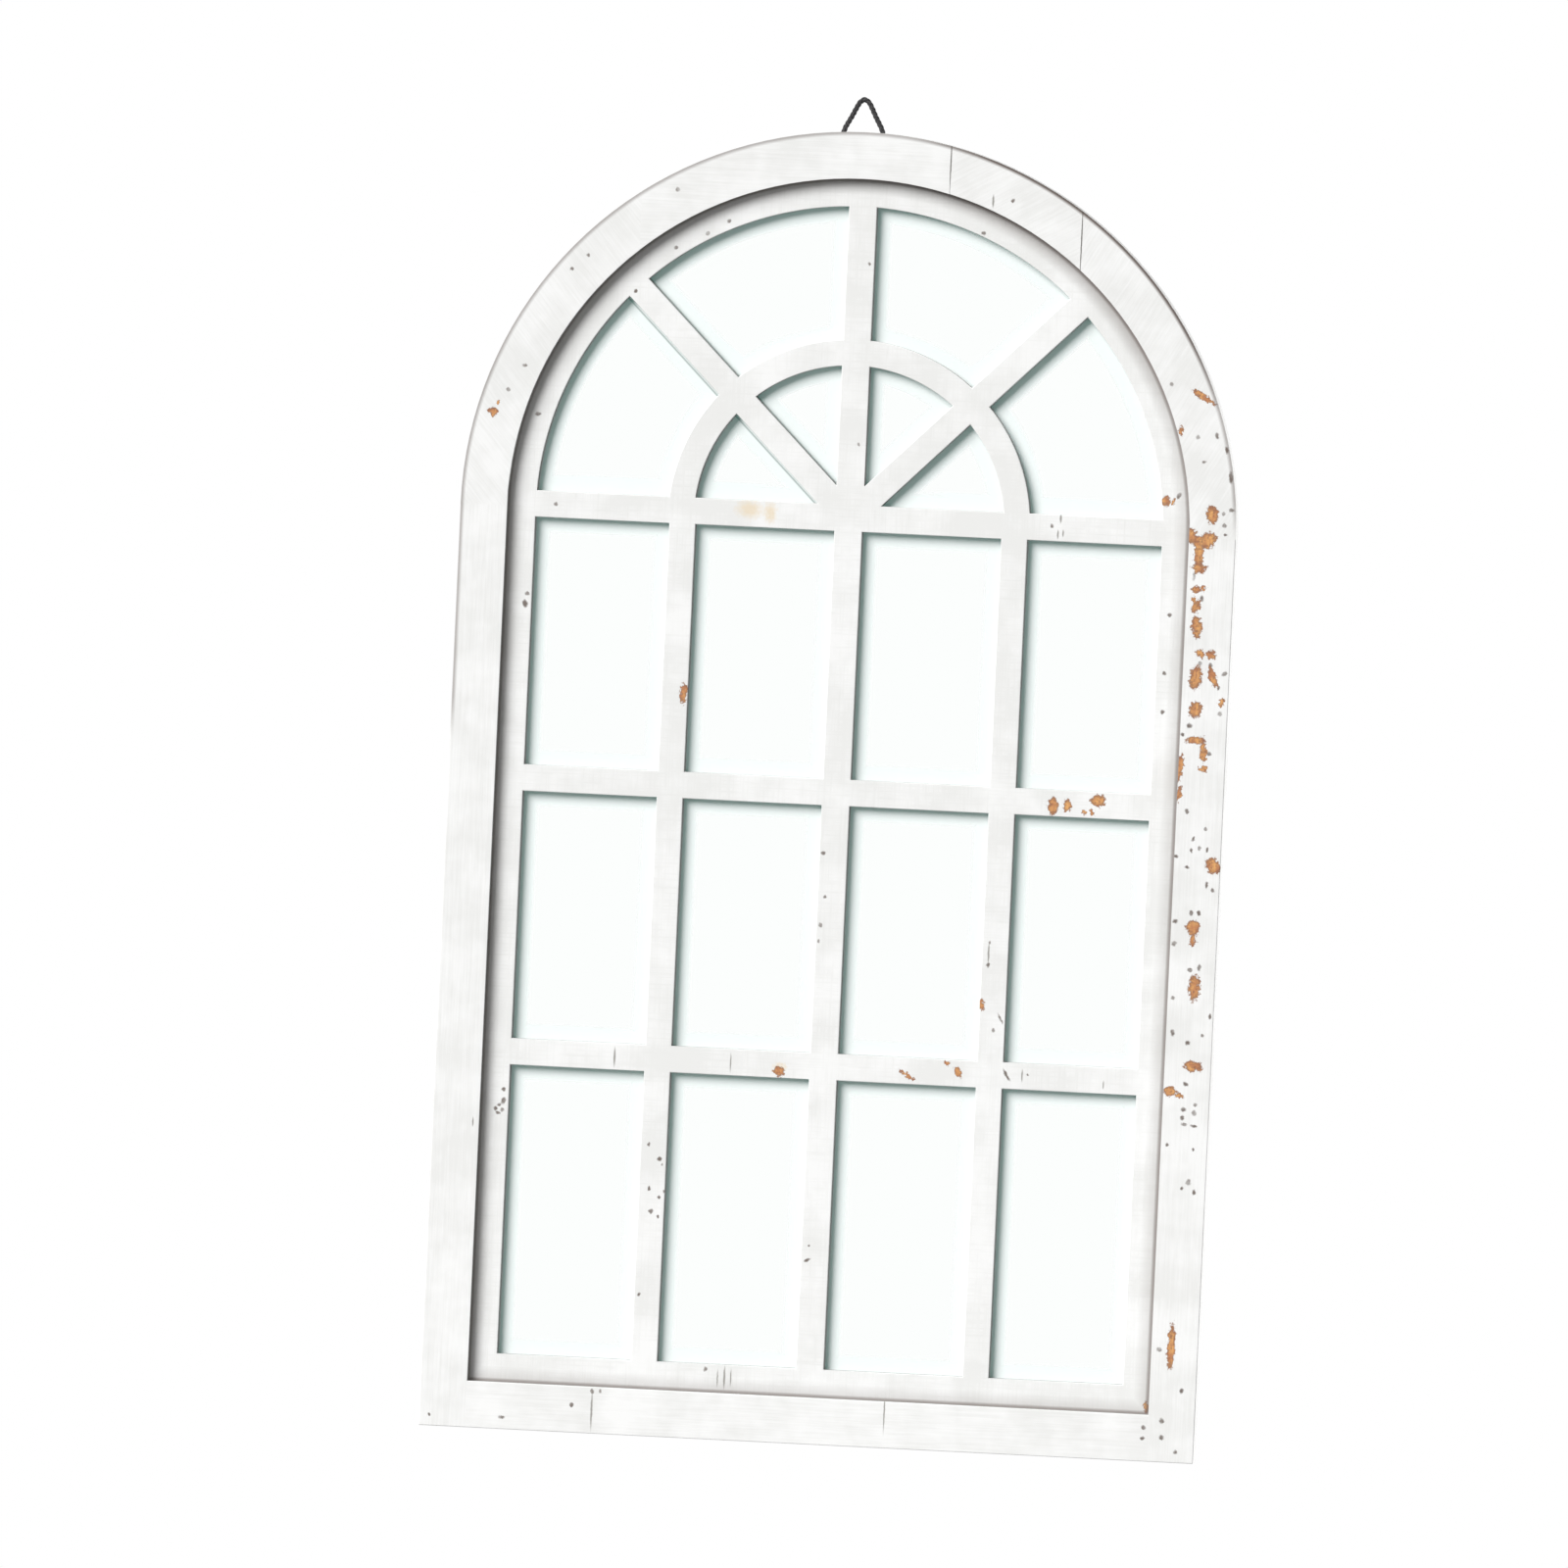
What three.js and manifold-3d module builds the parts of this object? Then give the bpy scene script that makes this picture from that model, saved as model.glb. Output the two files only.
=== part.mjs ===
// Arched window mirror: a whitewashed wooden window frame with a semicircular head, a lattice of
// glazing bars set back inside it, one arched sheet of mirror glass behind the lattice, a hardboard
// back, and a twisted cord loop at the top that hangs on a nail.
//
// Millimetres. +X is to the right as you look at the mirror, +Y runs into the wall, +Z is up.
// The origin is on the back face of the frame, in the middle of the arch's crown.
// Inside the assembly group, heights are measured from the bottom edge of the frame.

import * as THREE from 'three';
import { mergeVertices } from 'three/addons/utils/BufferGeometryUtils.js';
import Module from 'manifold-3d';

const wasm = await Module();
wasm.setup();

// ---------------------------------------------------------------- driving dimensions

// outer frame
const frameWidth = 600;
const archCentreHeight = 712.5;
const frameFace = 36;
const frameThickness = 25;
const lipDepth = 9.5; // from the front of the frame back to the lattice
const rabbetWidth = 8; // how far the lip covers the lattice, the glass and the back
const archJointsX = [-170.5, 67, 170.5]; // upright joints between the boards of the arch

// lattice
const latticeThickness = 7.5;
const latticeBorderFace = 21.5; // the part of the border that shows beside the frame
const latticeBottomFace = 21.8;
const latticeClearance = 0.5;
const muntinSpacing = 128.5;
const muntinWidth = 20.3;
const centreMuntinWidth = 21.6;
const springBarRise = 2.3; // from the arch's centre up to the middle of the spring bar
const crossBarSpacing = 211.7;
const crossBarWidth = 20.6;
const crossBarCount = 3;
const spokeWidth = 20;
const spokeAngle = Math.PI / 4;
const ringMiddleRadius = 130;
const ringWidth = 20.2;
const lapLength = 14; // how far a bar's end laps over the border

// glass and back
const glassThickness = 3;
const backingThickness = 3;
const glassClearance = 0.8;
const pointThickness = 0.6;
const pointWidth = 8;
const pointLength = 14;
const pointInsertion = 6;
const stilePointHeights = [130, 365, 600];
const railPointsX = [-130, 130];
const archPointAngles = [25, 65, 110, 155].map(THREE.MathUtils.degToRad);

// fasteners and joints
const glueGap = 0.3;
const dowelDiameter = 6;
const dowelLength = 30;
const railDowelHeights = [8, 20];
const springDowelInsets = [7, 21]; // from the outer edge of the frame

// hanging cord
const cordDiameter = 4.2;
const hangerOffset = -3.5; // the loop sits a little left of the middle
const cordTail = 22; // length of each end inside its groove
const cordHalfSpan = 16.2;
const loopHeight = 25; // from the top of the arch to the cord's centreline at the nail
const grooveLength = 24;
const stapleWire = 1.2;
const stapleInset = 0.2; // how far the staples lie below the back of the frame
const stapleLegInWood = 8;
const stapleDepths = [7, 17]; // below the top of the arch

// how round the curves are
const archSegments = 72; // for half a circle
const dowelSides = 16;
const cordSides = 8;
const cordSteps = 44;

// ---------------------------------------------------------------- sizes that follow

const outerRadius = frameWidth / 2;
const lipRadius = outerRadius - frameFace;
const rabbetRadius = lipRadius + rabbetWidth;
const bodyWidth = outerRadius - rabbetRadius;
const frameHeight = archCentreHeight + outerRadius;
const mountHeight = frameHeight - bodyWidth / 2;

const frameFront = -frameThickness;
const latticeFront = frameFront + lipDepth;
const latticeBack = latticeFront + latticeThickness;
const glassBack = latticeBack + glassThickness;
const backingBack = glassBack + backingThickness;
const lapPlane = (latticeFront + latticeBack) / 2;

const latticeRadius = rabbetRadius - latticeClearance;
const paneRadius = lipRadius - latticeBorderFace;
const latticeBottom = bodyWidth + latticeClearance;
const paneBottom = frameFace + latticeBottomFace;
const springBarHeight = archCentreHeight + springBarRise;
const springBarTop = springBarHeight + crossBarWidth / 2;
const ringInner = ringMiddleRadius - ringWidth / 2;
const ringOuter = ringMiddleRadius + ringWidth / 2;

const crossBarHeights = Array.from(
  { length: crossBarCount },
  (_, row) => springBarHeight - row * crossBarSpacing,
);
const muntins = [
  { name: 'left', x: -muntinSpacing, width: muntinWidth },
  { name: 'centre', x: 0, width: centreMuntinWidth },
  { name: 'right', x: muntinSpacing, width: muntinWidth },
];

const cordRadius = cordDiameter / 2;
const cordY = -(stapleInset + stapleWire + glueGap + cordRadius);
const grooveDepth = -cordY + cordRadius + glueGap;
const stapleInner = cordDiameter + 2 * glueGap;
const stapleOuter = stapleInner + 2 * stapleWire;
const grooveWidth = stapleOuter + 2 * glueGap;
const tailX = [hangerOffset - cordHalfSpan, hangerOffset + cordHalfSpan];

// well past the part on every side, for cutting tools
const beyond = frameWidth + frameHeight;

// ---------------------------------------------------------------- materials

const paintedWood = { color: 0xeeefec, roughness: 0.7, metalness: 0 };
const latticeWood = { color: 0xe8e8e4, roughness: 0.7, metalness: 0 };
const mirror = { color: 0xd9e4e2, roughness: 0.03, metalness: 1 };
const hardboard = { color: 0x8b6a4a, roughness: 0.85, metalness: 0 };
const beech = { color: 0xcaa878, roughness: 0.7, metalness: 0 };
const steel = { color: 0x9c9ea1, roughness: 0.35, metalness: 1 };
const cordFibre = { color: 0x3b3b3d, roughness: 0.95, metalness: 0 };

// ---------------------------------------------------------------- tools

function solidOf(geometry) {
  geometry.deleteAttribute('normal');
  geometry.deleteAttribute('uv');
  const merged = mergeVertices(geometry);
  return new wasm.Manifold(
    new wasm.Mesh({
      numProp: 3,
      vertProperties: new Float32Array(merged.attributes.position.array),
      triVerts: new Uint32Array(merged.index.array),
    }),
  );
}

function geometryOf(solid) {
  const { vertProperties, triVerts } = solid.getMesh();
  const geometry = new THREE.BufferGeometry();
  geometry.setAttribute('position', new THREE.BufferAttribute(vertProperties, 3));
  geometry.setIndex(new THREE.BufferAttribute(triVerts, 1));
  const faceted = geometry.toNonIndexed();
  faceted.computeVertexNormals();
  return faceted;
}

// a box between two corners
function block([x0, x1], [y0, y1], [z0, z1]) {
  const box = new THREE.BoxGeometry(x1 - x0, y1 - y0, z1 - z0);
  box.translate((x0 + x1) / 2, (y0 + y1) / 2, (z0 + z1) / 2);
  return solidOf(box);
}

// an outline drawn in X and Z, with a thickness from front to back along Y
function plate(outline, front, back, arcSegments = archSegments) {
  const geometry = new THREE.ExtrudeGeometry(outline, {
    depth: back - front,
    bevelEnabled: false,
    curveSegments: arcSegments / 2, // an arc has two segments for each of these
  });
  geometry.rotateX(Math.PI / 2);
  geometry.translate(0, back, 0);
  return solidOf(geometry);
}

// part of a flat ring about the arch's centre
function ringPlate(inner, outer, fromAngle, toAngle, front, back) {
  const outline = new THREE.Shape();
  outline.absarc(0, archCentreHeight, outer, fromAngle, toAngle, false);
  outline.absarc(0, archCentreHeight, inner, toAngle, fromAngle, true);
  const segments = 2 * Math.ceil((archSegments * (toAngle - fromAngle)) / Math.PI / 2);
  return plate(outline, front, back, segments);
}

// a window-shaped outline: straight sides with half a circle on top
function archOutline(radius, bottom) {
  const outline = new THREE.Shape();
  outline.moveTo(-radius, bottom);
  outline.lineTo(radius, bottom);
  outline.absarc(0, archCentreHeight, radius, 0, Math.PI, false);
  outline.closePath();
  return outline;
}

function placed(solid, { position = [0, 0, 0], turnY = 0 }) {
  const turned = solid.rotate([0, THREE.MathUtils.radToDeg(turnY), 0]);
  return turned.translate(position);
}

function without(solid, tools) {
  return tools.reduce((left, tool) => left.subtract(tool), solid);
}

function piece(name, shape, look) {
  const geometry = shape instanceof THREE.BufferGeometry ? shape : geometryOf(shape);
  const mesh = new THREE.Mesh(geometry, new THREE.MeshStandardMaterial(look));
  mesh.name = name;
  return mesh;
}

// ---------------------------------------------------------------- where the fasteners go

// a dowel lies along X where turnY is 0
const dowels = [
  ...railDowelHeights.flatMap((height, i) =>
    [-1, 1].map((side) => ({
      name: `dowel_bottom_${side < 0 ? 'left' : 'right'}_${i + 1}`,
      position: [side * rabbetRadius, latticeBack, height],
      turnY: 0,
    })),
  ),
  ...springDowelInsets.flatMap((inset, i) =>
    [-1, 1].map((side) => ({
      name: `dowel_spring_${side < 0 ? 'left' : 'right'}_${i + 1}`,
      position: [side * (outerRadius - inset), latticeBack, archCentreHeight],
      turnY: Math.PI / 2,
    })),
  ),
  ...archJointsX.map((x, i) => ({
    name: `dowel_arch_${i + 1}`,
    position: [x, latticeBack, archCentreHeight + bodyMiddleAt(x)],
    turnY: 0,
  })),
];

// height above the arch's centre of the middle of the arch's body, at a distance from the middle
function bodyMiddleAt(x) {
  return (Math.sqrt(outerRadius ** 2 - x ** 2) + Math.sqrt(rabbetRadius ** 2 - x ** 2)) / 2;
}

// a backing point enters the wood along its own +X, from the rabbet's wall
const pointY = backingBack + pointThickness / 2;
const backingPoints = [
  ...stilePointHeights.flatMap((height) => [
    { position: [-rabbetRadius, pointY, height], turnY: Math.PI },
    { position: [rabbetRadius, pointY, height], turnY: 0 },
  ]),
  ...railPointsX.map((x) => ({ position: [x, pointY, bodyWidth], turnY: Math.PI / 2 })),
  ...archPointAngles.map((angle) => ({
    position: [
      rabbetRadius * Math.cos(angle),
      pointY,
      archCentreHeight + rabbetRadius * Math.sin(angle),
    ],
    turnY: -angle,
  })),
];

const staples = tailX.flatMap((x, side) =>
  stapleDepths.map((depth, i) => ({
    name: `cord_staple_${side === 0 ? 'left' : 'right'}_${i + 1}`,
    x,
    z: frameHeight - depth,
  })),
);

function dowelTool() {
  const bore = new THREE.CylinderGeometry(
    dowelDiameter / 2 + glueGap,
    dowelDiameter / 2 + glueGap,
    dowelLength + 2 * glueGap,
    dowelSides,
  );
  bore.rotateZ(Math.PI / 2);
  return solidOf(bore);
}

function pointTool() {
  const halfWidth = pointWidth / 2 + glueGap;
  const halfThickness = pointThickness / 2 + glueGap;
  return block(
    [-rabbetWidth, pointInsertion + glueGap],
    [-halfThickness, halfThickness],
    [-halfWidth, halfWidth],
  );
}

function fastenerHoles() {
  const bore = dowelTool();
  const slot = pointTool();
  return [
    ...dowels.map((dowel) => placed(bore, dowel)),
    ...backingPoints.map((point) => placed(slot, point)),
  ];
}

function cordGrooves() {
  const halfWidth = grooveWidth / 2;
  const halfLeg = stapleWire / 2 + glueGap;
  const legMiddle = (stapleInner + stapleWire) / 2;
  const legEnd = -grooveDepth - stapleLegInWood - glueGap;
  const grooves = tailX.map((x) =>
    block(
      [x - halfWidth, x + halfWidth],
      [-grooveDepth, beyond],
      [frameHeight - grooveLength, beyond],
    ),
  );
  const legHoles = staples.flatMap(({ x, z }) =>
    [-legMiddle, legMiddle].map((offset) =>
      block(
        [x + offset - halfLeg, x + offset + halfLeg],
        [legEnd, beyond],
        [z - halfLeg, z + halfLeg],
      ),
    ),
  );
  return [...grooves, ...legHoles];
}

// ---------------------------------------------------------------- outer frame

function frameStile(side, holes) {
  const inward = (radius) => (side < 0 ? [-outerRadius, -radius] : [radius, outerRadius]);
  const lip = block(inward(lipRadius), [frameFront, latticeFront], [0, archCentreHeight]);
  const body = block(inward(rabbetRadius), [frameFront, 0], [0, archCentreHeight]);
  return without(lip.add(body), holes);
}

// the rail's ends reach into the rabbets of the stiles
function frameBottomRail(holes) {
  const lipEnd = lipRadius - glueGap;
  const bodyEnd = rabbetRadius - glueGap;
  const lip = block([-lipEnd, lipEnd], [frameFront, latticeFront], [0, frameFace]);
  const inFront = block([-lipEnd, lipEnd], [frameFront, 0], [0, bodyWidth]);
  const behind = block([-bodyEnd, bodyEnd], [latticeFront + glueGap, 0], [0, bodyWidth]);
  return without(lip.add(inFront).add(behind), holes);
}

function archBoards(holes) {
  const lip = ringPlate(lipRadius, outerRadius, 0, Math.PI, frameFront, latticeFront);
  const body = ringPlate(rabbetRadius, outerRadius, 0, Math.PI, frameFront, 0);
  const arch = without(lip.add(body), holes);
  const edges = [-beyond, ...archJointsX, beyond];
  return edges.slice(1).map((right, i) => {
    const span = [edges[i] + glueGap / 2, right - glueGap / 2];
    return arch.intersect(block(span, [-beyond, beyond], [archCentreHeight + glueGap, beyond]));
  });
}

function outerFrame() {
  const holes = fastenerHoles();
  const [left, crown, shoulder, right] = archBoards(holes);
  const frame = new THREE.Group();
  frame.add(
    piece('frame_left_stile', frameStile(-1, holes), paintedWood),
    piece('frame_right_stile', frameStile(1, holes), paintedWood),
    piece('frame_bottom_rail', frameBottomRail(holes), paintedWood),
    piece('frame_arch_left', left, paintedWood),
    piece('frame_arch_crown', without(crown, cordGrooves()), paintedWood),
    piece('frame_arch_shoulder', shoulder, paintedWood),
    piece('frame_arch_right', right, paintedWood),
  );
  return frame;
}

function frameDowels() {
  const group = new THREE.Group();
  for (const { name, position, turnY } of dowels) {
    const rod = new THREE.CylinderGeometry(
      dowelDiameter / 2,
      dowelDiameter / 2,
      dowelLength,
      dowelSides,
    );
    rod.rotateZ(Math.PI / 2);
    const dowel = piece(name, rod, beech);
    dowel.position.set(...position);
    dowel.rotation.y = turnY;
    group.add(dowel);
  }
  return group;
}

// ---------------------------------------------------------------- lattice

const wholeDepth = [latticeFront, latticeBack];
const toolDepth = [-beyond, beyond];
const frontHalf = [-beyond, lapPlane + glueGap / 2];
const backHalf = [lapPlane - glueGap / 2, beyond];

function spanOf(middle, width, gap = 0) {
  return [middle - width / 2 - gap, middle + width / 2 + gap];
}

function latticeStile(side) {
  const reach = (inner, outer) => (side < 0 ? [-outer, -inner] : [inner, outer]);
  const stile = block(
    reach(paneRadius, latticeRadius),
    wholeDepth,
    [latticeBottom, archCentreHeight],
  );
  const laps = crossBarHeights.map((height) =>
    block(
      reach(paneRadius - beyond, paneRadius + lapLength + glueGap),
      backHalf,
      spanOf(height, crossBarWidth, glueGap),
    ),
  );
  return without(stile, laps);
}

function latticeBottomRail() {
  const end = paneRadius - glueGap;
  const rail = block([-end, end], wholeDepth, [latticeBottom, paneBottom]);
  const laps = muntins.map(({ x, width }) =>
    block(
      spanOf(x, width, glueGap),
      frontHalf,
      [paneBottom - lapLength - glueGap, beyond],
    ),
  );
  return without(rail, laps);
}

// a cross bar keeps its back half behind the muntins and behind the border
function crossBar(height) {
  const end = paneRadius + lapLength;
  const bar = block([-end, end], wholeDepth, spanOf(height, crossBarWidth));
  const laps = muntins.map(({ x, width }) =>
    block(spanOf(x, width, glueGap), frontHalf, [0, beyond]),
  );
  const ends = [
    block([-beyond, -paneRadius + glueGap], frontHalf, [0, beyond]),
    block([paneRadius - glueGap, beyond], frontHalf, [0, beyond]),
    aroundPanes(frontHalf),
  ];
  return without(bar, [...laps, ...ends]);
}

// a muntin keeps its front half over the cross bars and over the bottom of the border
function muntin({ x, width }, top) {
  const bar = block(spanOf(x, width), wholeDepth, [paneBottom - lapLength, top]);
  const laps = crossBarHeights.map((height) =>
    block(toolDepth, backHalf, spanOf(height, crossBarWidth, glueGap)),
  );
  const foot = block(toolDepth, backHalf, [0, paneBottom + glueGap]);
  return without(bar, [...laps, foot]);
}

// everything outside the panes of the arch, where the border is
function aroundPanes([front, back]) {
  return ringPlate(paneRadius - glueGap, beyond, 0, Math.PI, front, back);
}

function springBarTool() {
  return block(toolDepth, toolDepth, [0, springBarTop + glueGap]);
}

function centreMuntinTool() {
  return block(spanOf(0, centreMuntinWidth, glueGap), toolDepth, [0, beyond]);
}

// a bar from the crossing of the spring bar and the centre muntin, out past the border
function spokeStrip(side, depth, gap = 0) {
  const strip = block([0, outerRadius], depth, spanOf(0, spokeWidth, gap));
  const angle = side > 0 ? spokeAngle : Math.PI - spokeAngle;
  return placed(strip, { position: [0, 0, springBarHeight], turnY: -angle });
}

function spoke(side) {
  const strip = spokeStrip(side, wholeDepth);
  return without(strip, [springBarTool(), centreMuntinTool(), aroundPanes(toolDepth)]);
}

function ringPart(fromAngle, toAngle) {
  const part = ringPlate(ringInner, ringOuter, fromAngle, toAngle, latticeFront, latticeBack);
  return without(part, [
    springBarTool(),
    centreMuntinTool(),
    spokeStrip(-1, toolDepth, glueGap),
    spokeStrip(1, toolDepth, glueGap),
  ]);
}

function borderArc(fromAngle, toAngle) {
  const half = glueGap / 2 / latticeRadius;
  const arc = ringPlate(
    paneRadius,
    latticeRadius,
    fromAngle + half,
    toAngle - half,
    latticeFront,
    latticeBack,
  );
  const below = block(toolDepth, toolDepth, [0, archCentreHeight + glueGap]);
  const barEnds = block(toolDepth, backHalf, [0, springBarTop + glueGap]);
  return without(arc, [below, barEnds]);
}

function lattice() {
  const corners = [0, spokeAngle, Math.PI / 2, Math.PI - spokeAngle, Math.PI];
  const names = ['right_lower', 'right_upper', 'left_upper', 'left_lower'];
  const group = new THREE.Group();
  group.add(
    piece('lattice_left_stile', latticeStile(-1), latticeWood),
    piece('lattice_right_stile', latticeStile(1), latticeWood),
    piece('lattice_bottom_rail', latticeBottomRail(), latticeWood),
  );
  names.forEach((name, i) => {
    group.add(
      piece(`lattice_arc_${name}`, borderArc(corners[i], corners[i + 1]), latticeWood),
      piece(`ring_${name}`, ringPart(corners[i], corners[i + 1]), latticeWood),
    );
  });
  ['spring', 'middle', 'lower'].forEach((name, i) => {
    group.add(piece(`cross_bar_${name}`, crossBar(crossBarHeights[i]), latticeWood));
  });
  for (const bar of muntins) {
    const solid =
      bar.name === 'centre'
        ? muntin(bar, frameHeight).subtract(aroundPanes(toolDepth))
        : muntin(bar, springBarTop);
    group.add(piece(`muntin_${bar.name}`, solid, latticeWood));
  }
  group.add(
    piece('spoke_left', spoke(-1), latticeWood),
    piece('spoke_right', spoke(1), latticeWood),
  );
  return group;
}

// ---------------------------------------------------------------- glass and back

function glassAndBack() {
  const group = new THREE.Group();
  const outline = archOutline(rabbetRadius - glassClearance, bodyWidth + glassClearance);
  group.add(
    piece('mirror_glass', plate(outline, latticeBack, glassBack), mirror),
    piece('backing_board', plate(outline, glassBack, backingBack), hardboard),
  );
  backingPoints.forEach(({ position, turnY }, i) => {
    const blade = new THREE.BoxGeometry(pointLength, pointThickness, pointWidth);
    blade.translate(pointInsertion - pointLength / 2, 0, 0);
    const point = piece(`backing_point_${i + 1}`, blade, steel);
    point.position.set(...position);
    point.rotation.y = turnY;
    group.add(point);
  });
  return group;
}

// ---------------------------------------------------------------- hanging cord

// one half of the loop, from the nail down to the end in the groove: distance from the loop's
// middle, and height above the top of the arch
const cordHalf = [
  [0, loopHeight],
  [3.4, loopHeight - 2.1],
  [5.9, loopHeight - 6.3],
  [8.9, 12.6],
  [11.7, 7.4],
  [13.9, 3.2],
  [15.5, -2.0],
  [cordHalfSpan, -8.0],
  [cordHalfSpan, -15.0],
  [cordHalfSpan, -cordTail],
];

function hangingCord() {
  const toPoint = (side) => ([offset, height]) =>
    new THREE.Vector3(hangerOffset + side * offset, cordY, frameHeight + height);
  const left = cordHalf.map(toPoint(-1)).reverse();
  const right = cordHalf.slice(1).map(toPoint(1));
  const section = new THREE.Shape();
  section.absarc(0, 0, cordRadius, 0, 2 * Math.PI, false);
  const tube = new THREE.ExtrudeGeometry(section, {
    steps: cordSteps,
    curveSegments: cordSides / 2,
    extrudePath: new THREE.CatmullRomCurve3([...left, ...right]),
  });
  return piece('hanging_cord', tube, cordFibre);
}

// a staple's crown lies across the cord, and its legs go forward into the wood
function cordStaples() {
  const halfInner = stapleInner / 2;
  const halfOuter = stapleOuter / 2;
  const top = -stapleInset;
  const underCrown = top - stapleWire;
  const legEnd = -grooveDepth - stapleLegInWood;
  const outline = new THREE.Shape([
    new THREE.Vector2(-halfOuter, legEnd),
    new THREE.Vector2(-halfInner, legEnd),
    new THREE.Vector2(-halfInner, underCrown),
    new THREE.Vector2(halfInner, underCrown),
    new THREE.Vector2(halfInner, legEnd),
    new THREE.Vector2(halfOuter, legEnd),
    new THREE.Vector2(halfOuter, top),
    new THREE.Vector2(-halfOuter, top),
  ]);
  const group = new THREE.Group();
  for (const { name, x, z } of staples) {
    const wire = new THREE.ExtrudeGeometry(outline, { depth: stapleWire, bevelEnabled: false });
    wire.translate(0, 0, -stapleWire / 2);
    const staple = piece(name, wire, steel);
    staple.position.set(x, 0, z);
    group.add(staple);
  }
  return group;
}

// ---------------------------------------------------------------- assembly

const assembly = new THREE.Group();
assembly.add(
  outerFrame(),
  frameDowels(),
  lattice(),
  glassAndBack(),
  hangingCord(),
  cordStaples(),
);
assembly.position.z = -mountHeight;

const archedWindowMirror = new THREE.Group();
archedWindowMirror.add(assembly);

export default archedWindowMirror;
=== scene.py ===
import math

import bmesh
import bpy
from bpy.props import FloatProperty, FloatVectorProperty, IntProperty, PointerProperty
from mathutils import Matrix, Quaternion, Vector
from mathutils.geometry import interpolate_bezier


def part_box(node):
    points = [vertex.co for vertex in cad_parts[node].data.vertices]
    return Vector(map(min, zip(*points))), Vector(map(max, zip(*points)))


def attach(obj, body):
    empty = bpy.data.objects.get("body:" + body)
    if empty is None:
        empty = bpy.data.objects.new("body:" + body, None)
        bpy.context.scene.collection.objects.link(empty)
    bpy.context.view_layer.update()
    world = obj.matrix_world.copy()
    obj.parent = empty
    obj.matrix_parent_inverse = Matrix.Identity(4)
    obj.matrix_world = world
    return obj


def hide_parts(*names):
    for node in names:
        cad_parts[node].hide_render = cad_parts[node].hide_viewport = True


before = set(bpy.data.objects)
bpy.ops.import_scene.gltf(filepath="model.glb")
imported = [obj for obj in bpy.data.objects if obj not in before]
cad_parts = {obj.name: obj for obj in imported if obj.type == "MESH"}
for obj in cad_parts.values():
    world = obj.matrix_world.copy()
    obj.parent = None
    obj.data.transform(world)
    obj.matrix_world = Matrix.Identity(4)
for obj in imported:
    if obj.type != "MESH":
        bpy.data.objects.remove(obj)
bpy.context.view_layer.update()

bl_info = {
    "name": "Arched window mirror",
    "version": (1, 0, 0),
    "blender": (4, 5, 0),
    "location": "View3D > Sidebar > Window mirror",
    "description": "Dresses the arched window mirror: painted wood, glass, hardboard and cord",
    "category": "Object",
}

# The mirror hangs upright in X and Z. +X is to the right as you look at it, +Y runs into the
# wall, and the origin is on the back of the frame in the middle of the arch's crown.

MM = 0.001
SNAP = 0.02 * MM  # closer than this is the same place


# ---------------------------------------------------------------- sizes from the frame

def node_reach(node, measure):
    """Least and greatest value of a measure over the corners of a CAD node."""
    values = [measure(vertex.co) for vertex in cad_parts[node].data.vertices]
    return min(values), max(values)


STILE_LOW, STILE_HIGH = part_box("frame_right_stile")
FRAME_FRONT, FRAME_BACK = STILE_LOW.y, STILE_HIGH.y
FRAME_BOTTOM, CENTRE_Z = STILE_LOW.z, STILE_HIGH.z
LIP_RADIUS, OUTER_RADIUS = STILE_LOW.x, STILE_HIGH.x
RAIL_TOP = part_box("frame_bottom_rail")[1].z
ARCH_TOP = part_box("frame_arch_crown")[1].z

BORDER_LOW, BORDER_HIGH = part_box("lattice_right_stile")
LATTICE_FRONT, LATTICE_BACK = BORDER_LOW.y, BORDER_HIGH.y
PANE_RADIUS, LATTICE_RADIUS = BORDER_LOW.x, BORDER_HIGH.x
LATTICE_BOTTOM = BORDER_LOW.z
PANE_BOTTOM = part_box("lattice_bottom_rail")[1].z
MUNTINS = [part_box(f"muntin_{place}") for place in ("left", "centre", "right")]
CROSS_BARS = [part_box(f"cross_bar_{place}") for place in ("lower", "middle", "spring")]

GLASS_LOW, GLASS_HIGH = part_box("mirror_glass")

LATTICE_NODES = [
    name
    for name in sorted(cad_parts)
    if name.startswith(("lattice_", "ring_", "cross_bar_", "muntin_", "spoke_"))
]


def from_arch_centre(point):
    """Distance from the arch's centre, seen from the front."""
    return math.hypot(point.x, point.z - CENTRE_Z)


RING_INNER, RING_OUTER = node_reach("ring_right_lower", from_arch_centre)
SPOKE_LOW, SPOKE_HIGH = node_reach("spoke_right", lambda point: (point.z - point.x) / math.sqrt(2))
SPOKE_WIDTH = SPOKE_HIGH - SPOKE_LOW
HUB = complex(0, (CROSS_BARS[2][0].z + CROSS_BARS[2][1].z) / 2)  # where the fan's bars meet


def outline_gap(point):
    """How far a point lies inside the outer outline of the frame, seen from the front."""
    rise = max(point.z - CENTRE_Z, 0)
    return min(OUTER_RADIUS - math.hypot(point.x, rise), point.z - FRAME_BOTTOM)


# ---------------------------------------------------------------- marks in the paint

# Each mark is its middle, in mm to the right of the mirror's middle and above its bottom edge,
# then its width and height in mm, and its turn in degrees where it has one.

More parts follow.
